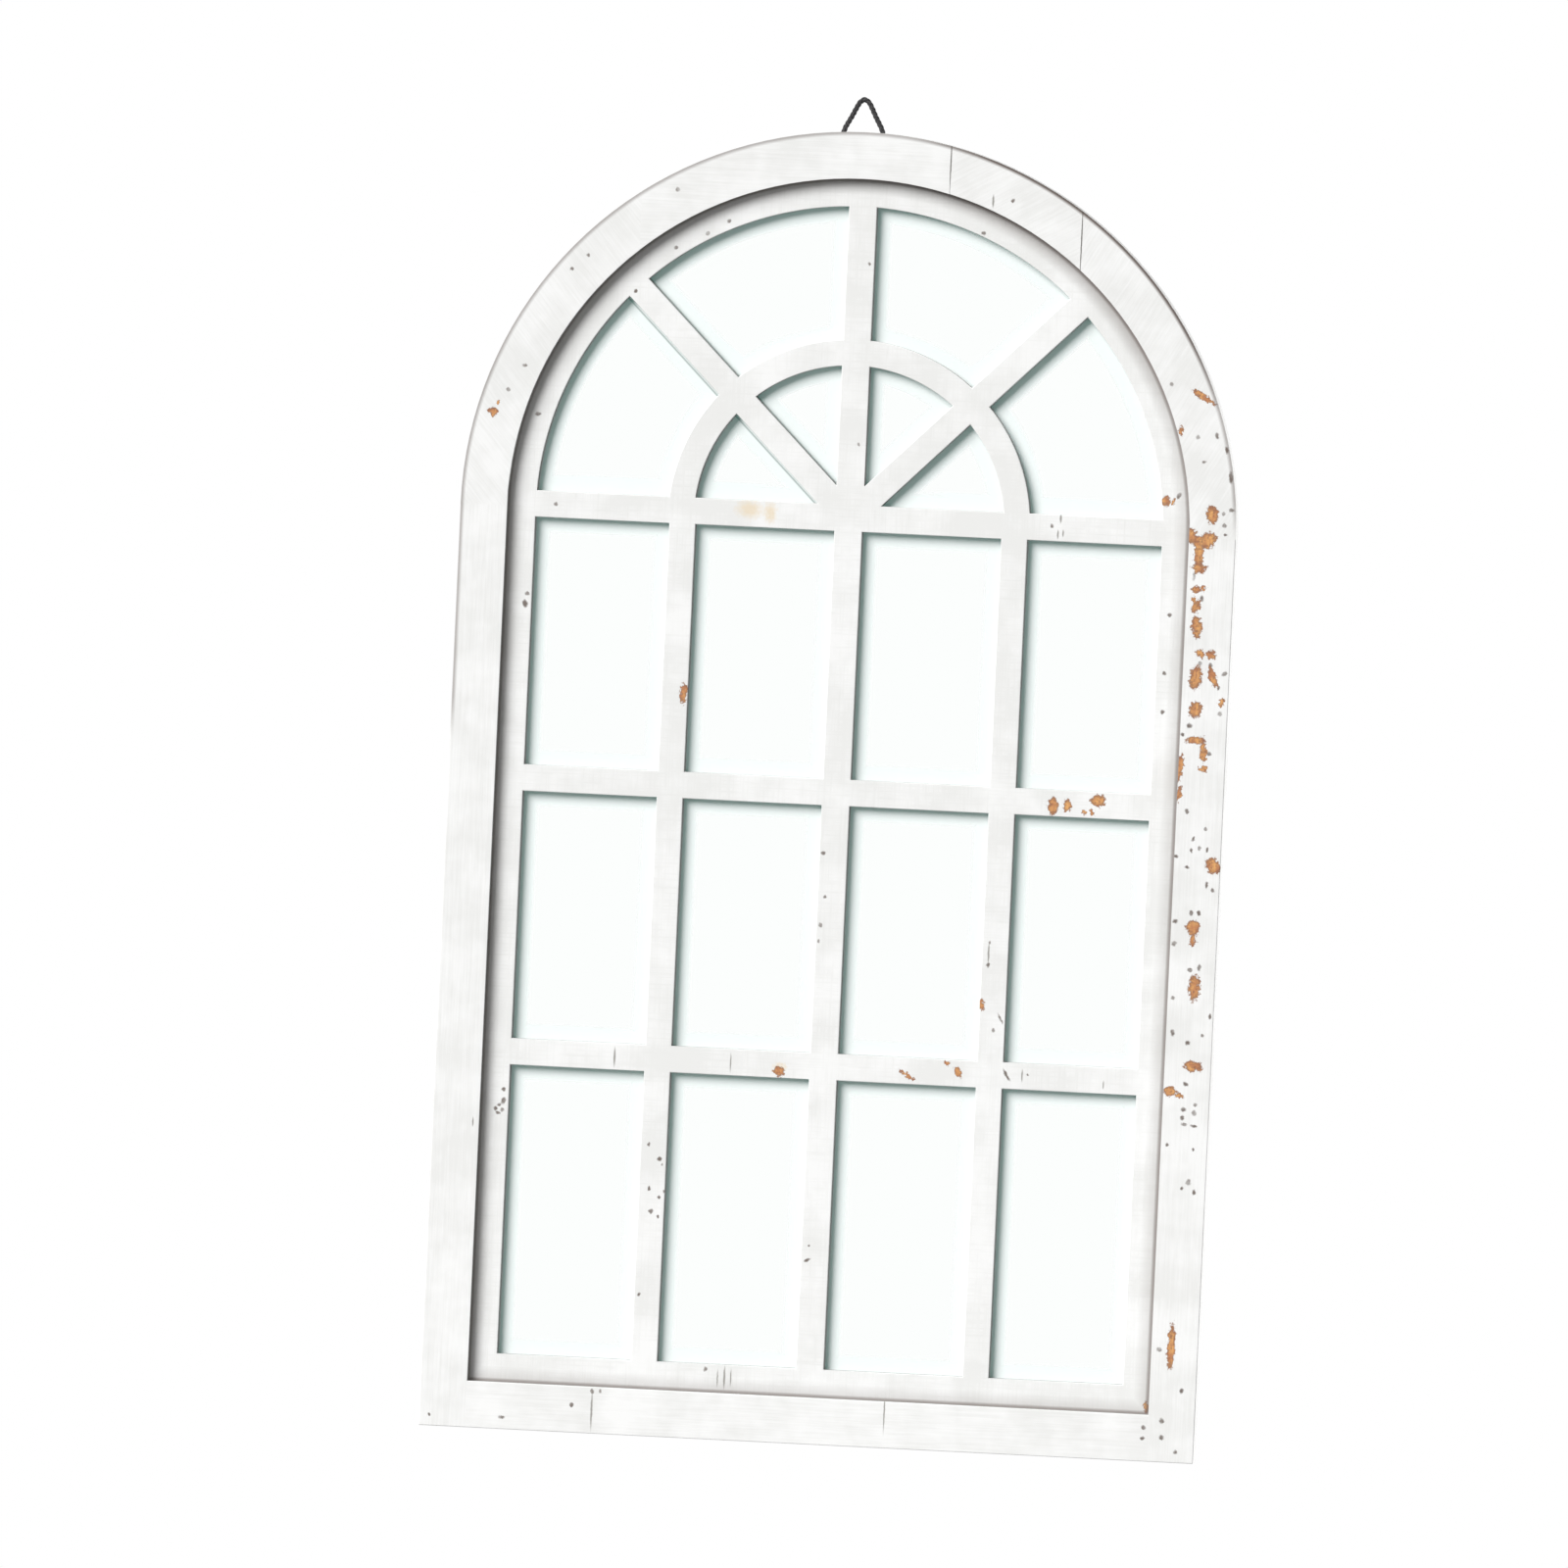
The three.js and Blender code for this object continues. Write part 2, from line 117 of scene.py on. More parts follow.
FRAME_CHIPS = [
    # shoulder of the arch
    (270, 821, 27, 5, -31), (254, 794, 4, 8, -10), (-278, 784, 8, 9), (-274, 791, 4, 4),
    # right stile, from the top down
    (281, 731, 11, 17, 10), (265.5, 714, 12, 14, 20), (272, 709, 10, 13), (279, 711, 14, 16, -30),
    (272, 699, 9, 20), (273, 689, 13, 9), (271, 673, 9, 7), (277, 674, 4, 5), (270, 665, 5, 5),
    (272, 660, 6, 13, -25), (273, 644, 9, 22, 5), (276, 624, 9, 7), (285, 623, 9, 9),
    (274, 605, 11, 22, -8), (287, 606, 7, 20, 20), (295, 587, 5, 8, -10), (275, 580, 11, 15),
    (276, 557, 17, 7, 5), (283, 548, 5, 20), (283, 535, 8, 6), (265, 535, 6, 26, -5),
    (265, 515, 5, 15, -8), (294, 461, 13, 15, 30), (281, 413, 13, 14), (281, 403, 6, 11),
    (284, 366, 11, 24), (286, 306, 17, 10), (269, 286, 11, 10), (276, 283, 7, 5, -25),
    (279, 89, 7, 42, -2),
]
FRAME_SPECKS = [
    (245, 830, 4, 4), (267, 790, 4, 4), (282, 792, 4, 6), (273, 771, 4, 3), (290, 781, 4, 7, 10),
    (294, 760, 4, 12, 4), (296, 735, 5, 4), (290, 732, 4, 4), (291, 723, 4, 5), (292, 716, 4, 3),
    (269, 683, 3, 8), (276, 666, 4, 6), (277, 616, 4, 5), (285, 615, 4, 5), (296, 609, 6, 4, 35),
    (292, 598, 3, 5), (294, 578, 4, 5), (271, 568, 6, 5), (266, 561, 4, 4), (287, 547, 5, 4),
    (272, 502, 4, 6), (287, 489, 4, 4), (278, 481, 3, 5, -25), (277, 472, 3, 5), (283, 474, 3, 5),
    (289, 473, 3, 5), (265, 467, 5, 4), (274, 459, 5, 3), (290, 446, 3, 7), (295, 442, 4, 4),
    (279, 424, 4, 5), (285, 424, 4, 5), (267, 417, 5, 4), (267, 400, 5, 5), (280, 380, 5, 4),
    (287, 382, 4, 7), (268, 358, 4, 4), (297, 345, 3, 6), (269, 331, 4, 7), (281, 324, 5, 5),
    (292, 330, 3.4, 3.4), (281, 292, 5, 4, -30), (289, 276.5, 4, 4), (280, 272.5, 5.5, 4),
    (288.4, 270, 4.4, 6), (279.4, 266, 4, 5), (281, 261, 6, 3, -8), (288.6, 260, 7, 3, -8),
    (268.7, 244.6, 3.4, 3.4), (289, 242, 2.6, 4), (286.5, 216.6, 4.6, 6.5), (291, 209, 4, 5),
    (281.4, 211.6, 3, 4), (270, 87, 5, 5), (288.7, 55.7, 4, 5),
    # bottom corners, where the boards are pinned
    (260.7, 26, 5, 4.6), (274.6, 32, 5, 5.4), (260, 17.8, 5, 4.2), (274.8, 19.2, 5, 5),
    (286, 8.3, 4, 4), (-182, 21.5, 4.2, 5), (-236, 9.2, 6.5, 3.4), (-292, 8.7, 3, 3),
    (-166.6, 32.6, 3.6, 5), (-160.4, 33, 3.6, 4.2),
    # left side of the arch and left stile
    (-255, 821, 5, 4), (-267, 802, 4, 4), (-222, 897, 4, 4), (-210, 908, 4, 4), (-143, 962, 4, 4),
    (116, 965, 4, 4),
]
FRAME_HAIRLINES = [
    (67, 992, 1.5, 44), (170.5, 936, 1.5, 58), (101, 964, 2.2, 12), (-166.5, 18, 2, 36),
    (60, 30, 1.4, 44), (-268.5, 236, 1.6, 9),
]
LATTICE_CHIPS = [
    # right border and left muntin
    (244, 740, 7, 10), (250, 739, 4, 7, -20), (-121.5, 574, 6, 19),
    # middle bar, from the right muntin outwards
    (168, 501, 9.5, 16), (179, 501.6, 7.5, 11), (202.6, 506.5, 13.5, 11), (198, 497.5, 4, 6.5),
    (192, 497, 4, 3.4),
    # lower bar
    (64.6, 288, 16, 3.5, -31), (95, 299, 4.5, 3.8), (104, 292.5, 5, 13, 25), (-34, 286, 10, 10),
    (120, 345.4, 4.5, 11, 12),
    # lower right corner
    (261.2, 41, 3.4, 10, 4),
]
LATTICE_SPECKS = [
    # border, from the top round both sides
    (-119, 929, 4, 4), (-103, 939, 4, 4), (94, 939, 4, 4), (-143, 917, 4, 4), (-173, 882, 4, 4),
    (-244, 784, 6, 4), (-227, 715, 4, 4), (254, 744, 4, 7, -25), (-246, 645, 5, 4),
    (-247.4, 637.3, 5, 8, 10), (251, 652, 4, 4), (249, 607, 4, 4), (249, 577, 4, 4),
    (-80.6, 53.7, 3.5, 4.5), (262, 40, 5, 8),
    # blister on the left border
    (-252.3, 247, 3.5, 5, 10), (-250.3, 243.6, 5, 3, -10), (-247.3, 246, 3.5, 4.5),
    (-249.6, 250, 5, 3, 20), (-246.5, 253, 4.5, 7, -15), (-246.7, 262, 4, 4.5),
    # ring, spokes and spring bar
    (5, 772, 3, 4), (7, 911, 3, 4), (157.2, 716.4, 3, 5, 30),
    # muntins
    (-7.9, 455.8, 4.5, 4), (-5, 422.6, 3.5, 4), (-7.6, 400.5, 3.5, 4.5), (-8.5, 388, 2.5, 4),
    (124, 393.3, 2.5, 3.5), (123.5, 376, 3.2, 5), (88, 392, 3, 4), (135, 335, 2.4, 11, 30),
    (130, 326, 3.4, 4.5), (-4.8, 153, 2.5, 2.5), (-5.8, 141.7, 7.5, 3, 25), (-135, 109, 3, 4),
    (-132.5, 225, 3, 4.6), (-123.4, 214, 4.6, 4.8), (-121.4, 210, 2, 3), (-130.6, 191, 3, 4.6),
    (-122.7, 184.5, 2.8, 3.4), (-128.4, 173.4, 4.4, 5), (-123, 169.4, 2.8, 3.6),
    (-119, 189, 2, 3),
    # lower bar
    (141.6, 292, 3, 13, 30), (158, 293, 2, 3),
]
LATTICE_HAIRLINES = [
    (163.7, 722.4, 2.2, 9), (162, 710, 1.7, 9), (166, 711, 1.6, 7), (-65.7, 48, 2, 21),
    (-71, 47, 1.3, 16), (-60.7, 48, 1.3, 16), (-162, 291, 2, 18), (-72, 291, 1.3, 18),
    (153.7, 292, 1.6, 12), (216.7, 288, 1.3, 8), (123.5, 385, 1.8, 20),
]
LATTICE_STAINS = [
    (-77, 718, 26, 18), (-61, 716, 13, 20), (-34, 289, 14, 10),
]

FRAME_MARKS = {
    "chips": FRAME_CHIPS,
    "specks": FRAME_SPECKS,
    "hairlines": FRAME_HAIRLINES,
}
LATTICE_MARKS = {
    "chips": LATTICE_CHIPS,
    "specks": LATTICE_SPECKS,
    "hairlines": LATTICE_HAIRLINES,
    "stains": LATTICE_STAINS,
}

# the arch's right shoulder, where the painted shade and the dirt on both frame and lattice are
# strongest
DIRT_AND_SHADE_PEAK = (185, 940, 330, 260, -40)


# ---------------------------------------------------------------- nodes and colours

def linear(hex_colour):
    """Linear red, green, blue and alpha of an sRGB hex colour."""
    channels = [int(hex_colour[i : i + 2], 16) / 255 for i in (0, 2, 4)]
    return [*(c / 12.92 if c <= 0.04045 else ((c + 0.055) / 1.055) ** 2.4 for c in channels), 1]


def add_node(tree, kind, sockets=(), output=0, **settings):
    """Adds a node. A socket, by name or number, takes a value or another node's output."""
    node = tree.nodes.new(kind)
    for name, value in settings.items():
        setattr(node, name, value)
    for key, value in dict(sockets).items():
        if isinstance(value, bpy.types.NodeSocket):
            tree.links.new(value, node.inputs[key])
        else:
            node.inputs[key].default_value = value
    return node.outputs[output] if node.outputs else None


def make_material(finish, *details, name=None):
    """A material with one of the finishes below. A finish is a function that adds its nodes to the
    tree and returns what goes into the shader at their end."""
    material = bpy.data.materials.new(name or finish.__name__)
    material.use_nodes = True
    tree = material.node_tree
    tree.nodes.clear()
    place = add_node(tree, "ShaderNodeTexCoord", output=3)
    shader = add_node(tree, "ShaderNodeBsdfPrincipled", finish(tree, place, *details))
    add_node(tree, "ShaderNodeOutputMaterial", {"Surface": shader})
    return material


MIXED_COLOUR = 2  # the output of a Mix node that carries its colour; 6 and 7 are its two colours


def lay_coats(tree, surface, coats):
    """Lays coats over a surface. Each is how much it covers, from 0 to 1, and its colour."""
    for amount, colour in coats:
        surface = add_node(
            tree,
            "ShaderNodeMix",
            {0: amount, 6: surface, 7: colour},
            output=MIXED_COLOUR,
            data_type="RGBA",
        )
    return surface


def coverage(tree, most, *ramps):
    """How much a coat covers: the product of ramps, each over a field, from where it is 0 to
    where it is 1, times the most that it covers."""
    amount = most
    for field, none_at, full_at in ramps:
        ramp = add_node(
            tree, "ShaderNodeMapRange", {"Value": field, "From Min": none_at, "From Max": full_at}
        )
        amount = add_node(tree, "ShaderNodeMath", {0: amount, 1: ramp}, operation="MULTIPLY")
    return amount


MARK_DEPTH = 5 * MM  # how far a mark reaches round an edge


def patches(tree, coordinates, marks, front):
    """Field over a set of marks: 0 at each mark's edge and outside it, up to 1 in its middle."""
    field = None
    for x, height, width, tall, *turn in marks:
        local = add_node(
            tree,
            "ShaderNodeMapping",
            {
                "Vector": coordinates,
                "Location": (x * MM, front, FRAME_BOTTOM + height * MM),
                "Rotation": (0, -math.radians(turn[0] if turn else 0), 0),
                "Scale": (width * MM / 2, MARK_DEPTH, tall * MM / 2),
            },
            vector_type="TEXTURE",
        )
        patch = add_node(
            tree, "ShaderNodeTexGradient", {"Vector": local}, output=1, gradient_type="SPHERICAL"
        )
        if field is None:
            field = patch
        else:
            field = add_node(tree, "ShaderNodeMath", {0: field, 1: patch}, operation="MAXIMUM")
    return field


def marks_near(marks, node):
    """The marks that lie on a CAD node, or so near that their ragged outlines may reach it."""
    margin = 8 * MM
    low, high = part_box(node)
    return [
        mark
        for mark in marks
        if low.x - margin < mark[0] * MM < high.x + margin
        and low.z - margin < FRAME_BOTTOM + mark[1] * MM < high.z + margin
    ]


# ---------------------------------------------------------------- materials

STREAK = (1.5 * MM, 40 * MM)  # width and length of a brush streak in the paint
GRAIN = (2 * MM, 70 * MM)  # width and length of a line in the wood's grain
CLOUD, RUST, CRUMB = 45 * MM, 8 * MM, 2.2 * MM  # thin places, rusty patches, crumbs of paint
LUMP = 3 * MM  # lumps in the outline of a mark
LINE_DROP = 180 * MM  # how far the dark line of dirt and painted shade on the arch's arris runs down the left stile

# how much of the raggedness the outline of each kind of mark gets
RAGGED_SHARE = {"stains": 1, "chips": 1, "specks": 1 / 3, "hairlines": 0.1}


def along_grain(tree, place, turn, width, length):
    """Noise drawn out along the grain."""
    turned = add_node(
        tree, "ShaderNodeMapping", {"Vector": place, "Rotation": (0, math.radians(turn), 0)}
    )
    drawn_out = add_node(
        tree,
        "ShaderNodeMapping",
        {"Vector": turned, "Scale": (1 / width, 1 / width, 1 / length)},
    )
    return add_node(
        tree,
        "ShaderNodeTexNoise",
        {"Vector": drawn_out, "Scale": 1, "Detail": 5, "Roughness": 0.62, "Distortion": 0.3},
    )


def ragged_marks(tree, place, marks, front, raggedness):
    """A field for each kind of mark. The marks keep their places but get ragged outlines."""
    lumps = add_node(
        tree,
        "ShaderNodeTexNoise",
        {"Vector": place, "Scale": 1 / LUMP, "Detail": 3, "Roughness": 0.7},
        output=1,
    )
    shift = add_node(
        tree, "ShaderNodeVectorMath", {0: lumps, 1: (0.5, 0.5, 0.5)}, operation="SUBTRACT"
    )
    fields = {}
    for kind, share in RAGGED_SHARE.items():
        if marks.get(kind):
            ragged = add_node(
                tree,
                "ShaderNodeVectorMath",
                {0: shift, 1: (share * raggedness,) * 3, 2: place},
                operation="MULTIPLY_ADD",
            )
            fields[kind] = patches(tree, ragged, marks[kind], front)
    return fields


def chipped_wood(tree, settings, chips, grain, rusting, crumbs):
    """How bare the chips are, and the colour of the wood in them: tan with rusty grain and
    patches, and dark at the rim and where crumbs of paint cling."""
    broken = add_node(
        tree, "ShaderNodeMath", {0: crumbs, 1: 0.5, 2: chips}, operation="MULTIPLY_ADD"
    )
    bare = coverage(tree, 1.0, (broken, 0.3, 0.46), (chips, 0, 0.06))
    wood_coats = [
        (coverage(tree, 0.5, (grain, 0.6, 0.4)), settings.rust),
        (coverage(tree, 0.8, (rusting, 0.46, 0.6)), settings.rust),
        (coverage(tree, 0.9, (broken, 0.78, 0.45)), settings.rim),
        (coverage(tree, 0.8, (crumbs, 0.52, 0.66)), settings.rim),
    ]
    return bare, lay_coats(tree, settings.wood, wood_coats)


def gap_inside(tree, across, height, radius, bottom):
    """How far a place lies inside a window-shaped outline, seen from the front."""
    rise = add_node(tree, "ShaderNodeMath", {0: height, 1: CENTRE_Z}, operation="SUBTRACT")
    rise = add_node(tree, "ShaderNodeMath", {0: rise, 1: 0.0}, operation="MAXIMUM")
    flat = add_node(tree, "ShaderNodeCombineXYZ", {"X": across, "Z": rise})
    reach = add_node(tree, "ShaderNodeVectorMath", {0: flat}, output=1, operation="LENGTH")
    gap = add_node(tree, "ShaderNodeMath", {0: radius, 1: reach}, operation="SUBTRACT")
    above = add_node(tree, "ShaderNodeMath", {0: height, 1: bottom}, operation="SUBTRACT")
    return add_node(tree, "ShaderNodeMath", {0: gap, 1: above}, operation="MINIMUM")


def lattice_shade_and_dirt(tree, settings, gap, behind, dirt_and_shade_peak):
    """Coats of painted shade mixed with grime that fade out from the frame's lip, and painted shade
    on the sides of the bars.
    """
    return [
        # painted shade in the corner along the lip, mixed with grime, strongest at the right
        # shoulder
        (coverage(tree, 0.35, (gap, 14 * MM, 0), (dirt_and_shade_peak, 0, 0.4)), settings.shade_and_grime),
        (coverage(tree, 0.4, (gap, 12 * MM, 0)), settings.shade_and_grime),
        (coverage(tree, 0.6, (gap, 3 * MM, 1.2 * MM)), settings.shade_and_grime),
        # painted shade: dark grey on the bars' side walls
        (coverage(tree, 0.85, (behind, 0.7 * MM, 2 * MM)), settings.painted_wall_shade),
    ]


def board_shade_and_dirt(tree, settings, gap, behind, across, height, dirt_and_shade_peak):
    """Coats of painted shade and dirt on the frame: a dark line along the arch's arris, partly
    dirt and partly painted shade; painted shade on the outer walls where the arch is darkest; and
    painted shade on the inner wall of the lip."""
    # the dark line along the arch's arris, dirt and painted shade, runs a little way down the left
    # stile
    down_left = coverage(tree, LINE_DROP, (across, 0, -LIP_RADIUS))
    lifted = add_node(tree, "ShaderNodeMath", {0: height, 1: down_left}, operation="ADD")
    on_arch = (lifted, CENTRE_Z, CENTRE_Z + 30 * MM)
    arris = coverage(
        tree,
        1.0,
        (gap, 3.4 * MM, 1.1 * MM),
        (behind, 3 * MM, 1 * MM),
        (dirt_and_shade_peak, -0.5, 0.4),
        on_arch,
    )
    # painted shade on the arch's outer side wall, darkest at the right shoulder
    outer_wall = coverage(
        tree, 0.4, (gap, 2 * MM, 0.5 * MM), (behind, 15 * MM, 0), (dirt_and_shade_peak, 0, 0.4), on_arch
    )
    # painted shade on the inner wall of the lip
    inner_wall = coverage(tree, 0.7, (gap, 30 * MM, 34 * MM), (behind, 1 * MM, 4 * MM))
    return [
        (arris, settings.shade_and_grime),
        (outer_wall, settings.painted_wall_shade),
        (inner_wall, settings.painted_wall_shade),
    ]


def whitewashed_pine(tree, place, settings, grain_turns, marks, front, edge):
    """Pine under thin chalky white paint: faint brush streaks along the grain, chips down to tan
    wood with rusty rims, dark specks, hairline cracks, soft stains, grime mixed with painted shade
    where the pieces meet, and painted shade on side walls. The back is bare. The edge is the radius
    and the bottom of the outline that the painted shade and grime follow: the frame's lip for the
    lattice, and the frame's own outline for its boards."""
    across = add_node(tree, "ShaderNodeSeparateXYZ", {"Vector": place})
    depth, height = across.node.outputs["Y"], across.node.outputs["Z"]
    behind = add_node(tree, "ShaderNodeMath", {0: depth, 1: front}, operation="SUBTRACT")

    streaks = along_grain(tree, place, grain_turns[0], *STREAK)
    grain = along_grain(tree, place, grain_turns[0], *GRAIN)
    for turn in grain_turns[1:]:
        crossing = along_grain(tree, place, turn, *STREAK)
        streaks = add_node(tree, "ShaderNodeMath", {0: streaks, 1: crossing}, operation="MINIMUM")
    clouds, rusting, crumbs = [
        add_node(
            tree,
            "ShaderNodeTexNoise",
            {"Vector": place, "Scale": 1 / size, "Detail": 3, "Roughness": 0.6},
        )
        for size in (CLOUD, RUST, CRUMB)
    ]
    thin = add_node(
        tree, "ShaderNodeMath", {0: streaks, 1: 0.6, 2: clouds}, operation="MULTIPLY_ADD"
    )
    coats = [(coverage(tree, 1.0, (thin, 0.95, 0.65)), settings.thin_paint)]

    fields = ragged_marks(tree, place, marks, front, settings.raggedness)
    relief_height = streaks
    if "stains" in fields:
        coats.append((coverage(tree, 0.75, (fields["stains"], 0, 0.7)), settings.stain))
    if "specks" in fields:
        dark = coverage(tree, 0.95, (fields["specks"], 0.05, 0.5), (rusting, 0.05, 0.55))
        coats.append((dark, settings.speck))
    if "hairlines" in fields:
        coats.append((coverage(tree, 0.9, (fields["hairlines"], 0, 0.5)), settings.crack))
    if "chips" in fields:
        bare, wood = chipped_wood(tree, settings, fields["chips"], grain, rusting, crumbs)
        coats.append((bare, wood))
        relief_height = add_node(
            tree, "ShaderNodeMath", {0: streaks, 1: bare}, operation="SUBTRACT"
        )

    dirt_and_shade_peak = patches(tree, place, [DIRT_AND_SHADE_PEAK], front)
    if front == LATTICE_FRONT:
        # the painted shade and grime reach further along the right side of the lip than along the
        # left
        moved = add_node(tree, "ShaderNodeMath", {0: across, 1: 1 * MM}, operation="ADD")
        gap = gap_inside(tree, moved, height, *edge)
        coats += lattice_shade_and_dirt(tree, settings, gap, behind, dirt_and_shade_peak)
    else:
        gap = gap_inside(tree, across, height, *edge)
        coats += board_shade_and_dirt(tree, settings, gap, behind, across, height, dirt_and_shade_peak)

    # the back of each board is unpainted
    normal = add_node(tree, "ShaderNodeNewGeometry", output=1)
    facing = add_node(tree, "ShaderNodeSeparateXYZ", {"Vector": normal}, output=1)
    bare_back = lay_coats(
        tree, settings.back_wood, [(coverage(tree, 1.0, (grain, 0.65, 0.35)), settings.back_grain)]
    )
    coats.append((coverage(tree, 1.0, (facing, 0.5, 0.8)), bare_back))
    roughness = add_node(
        tree, "ShaderNodeMapRange", {"Value": streaks, "To Min": 0.55, "To Max": 0.75}
    )
    relief = add_node(
        tree,
        "ShaderNodeBump",
        {"Strength": 0.3, "Distance": 0.25 * MM, "Height": relief_height},
    )
    return {
        "Base Color": lay_coats(tree, settings.paint, coats),
        "Roughness": roughness,
        "Specular IOR Level": 0.3,
        "Normal": relief,
    }


# the film is whole where the "dust" attribute, 1 at a bar and 0 in the clear, is more than this
FILM_WHOLE = 0.35

# the thin dark lines of painted contact shade beside the left spoke: how far they lie from its
# edges, and how much further out the lower one lies and further in the upper one
SHADE_LINE_GAP, SHADE_LINE_SHIFT = 1.25 * MM, 0.85 * MM


def spoke_shade_lines(tree, place):
    """How much painted contact shade covers the glass, in a thin dark line along each side of the
    left spoke.
    """
    from_hub = add_node(
        tree, "ShaderNodeVectorMath", {0: place, 1: (0, 0, HUB.imag)}, operation="SUBTRACT"
    )
    to_right = add_node(tree, "ShaderNodeSeparateXYZ", {"Vector": from_hub})
    across = add_node(
        tree,
        "ShaderNodeVectorMath",
        {0: from_hub, 1: (math.sqrt(0.5), 0, math.sqrt(0.5))},
        output=1,
        operation="DOT_PRODUCT",
    )
    across = add_node(tree, "ShaderNodeMath", {0: across, 1: SHADE_LINE_SHIFT}, operation="ADD")
    out = add_node(tree, "ShaderNodeMath", {0: across}, operation="ABSOLUTE")
    line = SPOKE_WIDTH / 2 + SHADE_LINE_GAP
    return coverage(
        tree,
        0.5,
        (out, line + 1 * MM, line + 0.2 * MM),
        (out, line - 1 * MM, line - 0.2 * MM),
        (to_right, 0, -2 * MM),
    )


def silvered_glass(tree, place, settings):
    """Silvered float glass, slightly green. It mirrors cleanly in the middle of each pane; along
    the bars, where a cloth doesn't reach, a film of pale dust takes the bars' shadows."""
    dust = add_node(tree, "ShaderNodeAttribute", output=2, attribute_name="dust")
    film = add_node(
        tree,
        "ShaderNodeMapRange",
        {"Value": dust, "From Max": FILM_WHOLE},
        interpolation_type="SMOOTHSTEP",
    )
    clean = add_node(tree, "ShaderNodeMath", {0: 1.0, 1: film}, operation="SUBTRACT")
    roughness = add_node(tree, "ShaderNodeMapRange", {"Value": film, "To Min": 0.02, "To Max": 0.12})
    # the dust film takes real shadows; the dark lines beside the left spoke are painted contact
    # shade
    coats = [(film, settings.dust), (spoke_shade_lines(tree, place), settings.spoke_shade_colour)]
    return {
        "Base Color": lay_coats(tree, settings.silver, coats),
        "Metallic": clean,
        "Roughness": roughness,
        "Specular IOR Level": settings.film_gloss,
        "Specular Tint": settings.depth_tint,
    }


def screen_backed_hardboard(tree, place, settings):
    """Brown hardboard, rough side out: matted fibre with the imprint of a wire screen."""
    fibre_size, cloud_size = 1.2 * MM, 60 * MM
    wire_spacing = 4 * MM  # coarser than a real screen's, so that it shows
    fibre = add_node(
        tree, "ShaderNodeTexNoise", {"Vector": place, "Scale": 1 / fibre_size, "Detail": 5}
    )
    clouds = add_node(
        tree, "ShaderNodeTexNoise", {"Vector": place, "Scale": 1 / cloud_size, "Detail": 3}
    )
    across = [
        add_node(
            tree,
            "ShaderNodeTexWave",
            {"Vector": place, "Scale": math.pi / 10 / wire_spacing, "Distortion": 0.6, "Detail": 1},
            output=1,
            bands_direction=axis,
        )
        for axis in ("X", "Z")
    ]
    screen = add_node(tree, "ShaderNodeMath", {0: across[0], 1: across[1]}, operation="MULTIPLY")
    tone = add_node(tree, "ShaderNodeMath", {0: fibre, 1: clouds}, operation="MULTIPLY")
    tone = add_node(tree, "ShaderNodeMapRange", {"Value": tone, "From Min": 0.08, "From Max": 0.4})
    colour = lay_coats(tree, settings.board_shade, [(tone, settings.board)])
    height = add_node(tree, "ShaderNodeMath", {0: screen, 1: fibre}, operation="ADD")
    relief = add_node(
        tree, "ShaderNodeBump", {"Strength": 0.5, "Distance": 0.3 * MM, "Height": height}
    )
    return {"Base Color": colour, "Roughness": 0.85, "Specular IOR Level": 0.25, "Normal": relief}


def zinc_plated_steel(tree, place, settings):
    """Zinc-plated steel of the backing points and staples: grey, softly mottled, a little dull."""
    spangle = 1.5 * MM
    bloom = add_node(
        tree, "ShaderNodeTexNoise", {"Vector": place, "Scale": 1 / spangle, "Detail": 3}
    )
    colour = lay_coats(tree, settings.steel_shade, [(bloom, settings.steel)])
    roughness = add_node(tree, "ShaderNodeMapRange", {"Value": bloom, "To Min": 0.35, "To Max": 0.6})
    return {"Base Color": colour, "Metallic": 1.0, "Roughness": roughness}


def turned_beech(tree, place, settings):
    """Turned beech of the dowels: pale tan with short darker flecks."""
    fleck_size = 0.8 * MM
    flecks = add_node(
        tree,
        "ShaderNodeTexNoise",
        {"Vector": place, "Scale": 1 / fleck_size, "Detail": 4, "Roughness": 0.7},
    )
    colour = lay_coats(tree, settings.dowel_shade, [(flecks, settings.dowel)])
    return {"Base Color": colour, "Roughness": 0.65}


def twisted_cotton(tree, place, settings):
    """Charcoal cotton cord: matt dark strands with paler broken fibres that catch the light."""
    fibre_width = 0.6 * MM
    fibre = add_node(
        tree,
        "ShaderNodeTexNoise",
        {"Vector": place, "Scale": 1 / fibre_width, "Detail": 5, "Roughness": 0.75},
    )
    pale = coverage(tree, 1.0, (fibre, 0.5, 0.72))
    colour = lay_coats(tree, settings.cord, [(pale, settings.cord_fibre)])
    relief = add_node(
        tree, "ShaderNodeBump", {"Strength": 0.7, "Distance": 0.15 * MM, "Height": fibre}
    )
    return {
        "Base Color": colour,
        "Roughness": 0.95,
        "Specular IOR Level": 0.15,
        "Sheen Weight": 0.15,
        "Normal": relief,
    }


def studio_floor(tree, place, settings):
    """Matt paint on a studio floor, the same all over."""
    return {"Base Color": settings.floor, "Roughness": 0.9}


# ---------------------------------------------------------------- meshes

SHARP = math.radians(40)  # an edge where the surface turns by more is sharp
ARCH_STEPS = 96  # chords in the half circle of a window's outline


def merged_copy(node):
    """A bmesh of a CAD node, with its loose triangles joined and its flat faces whole."""
    bm = bmesh.new()
    bm.from_mesh(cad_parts[node].data)
    bmesh.ops.remove_doubles(bm, verts=bm.verts, dist=SNAP / 4)
    bmesh.ops.dissolve_limit(
        bm, angle_limit=math.radians(0.5), verts=bm.verts, edges=bm.edges, delimit={"SEAM"}
    )
    return bm


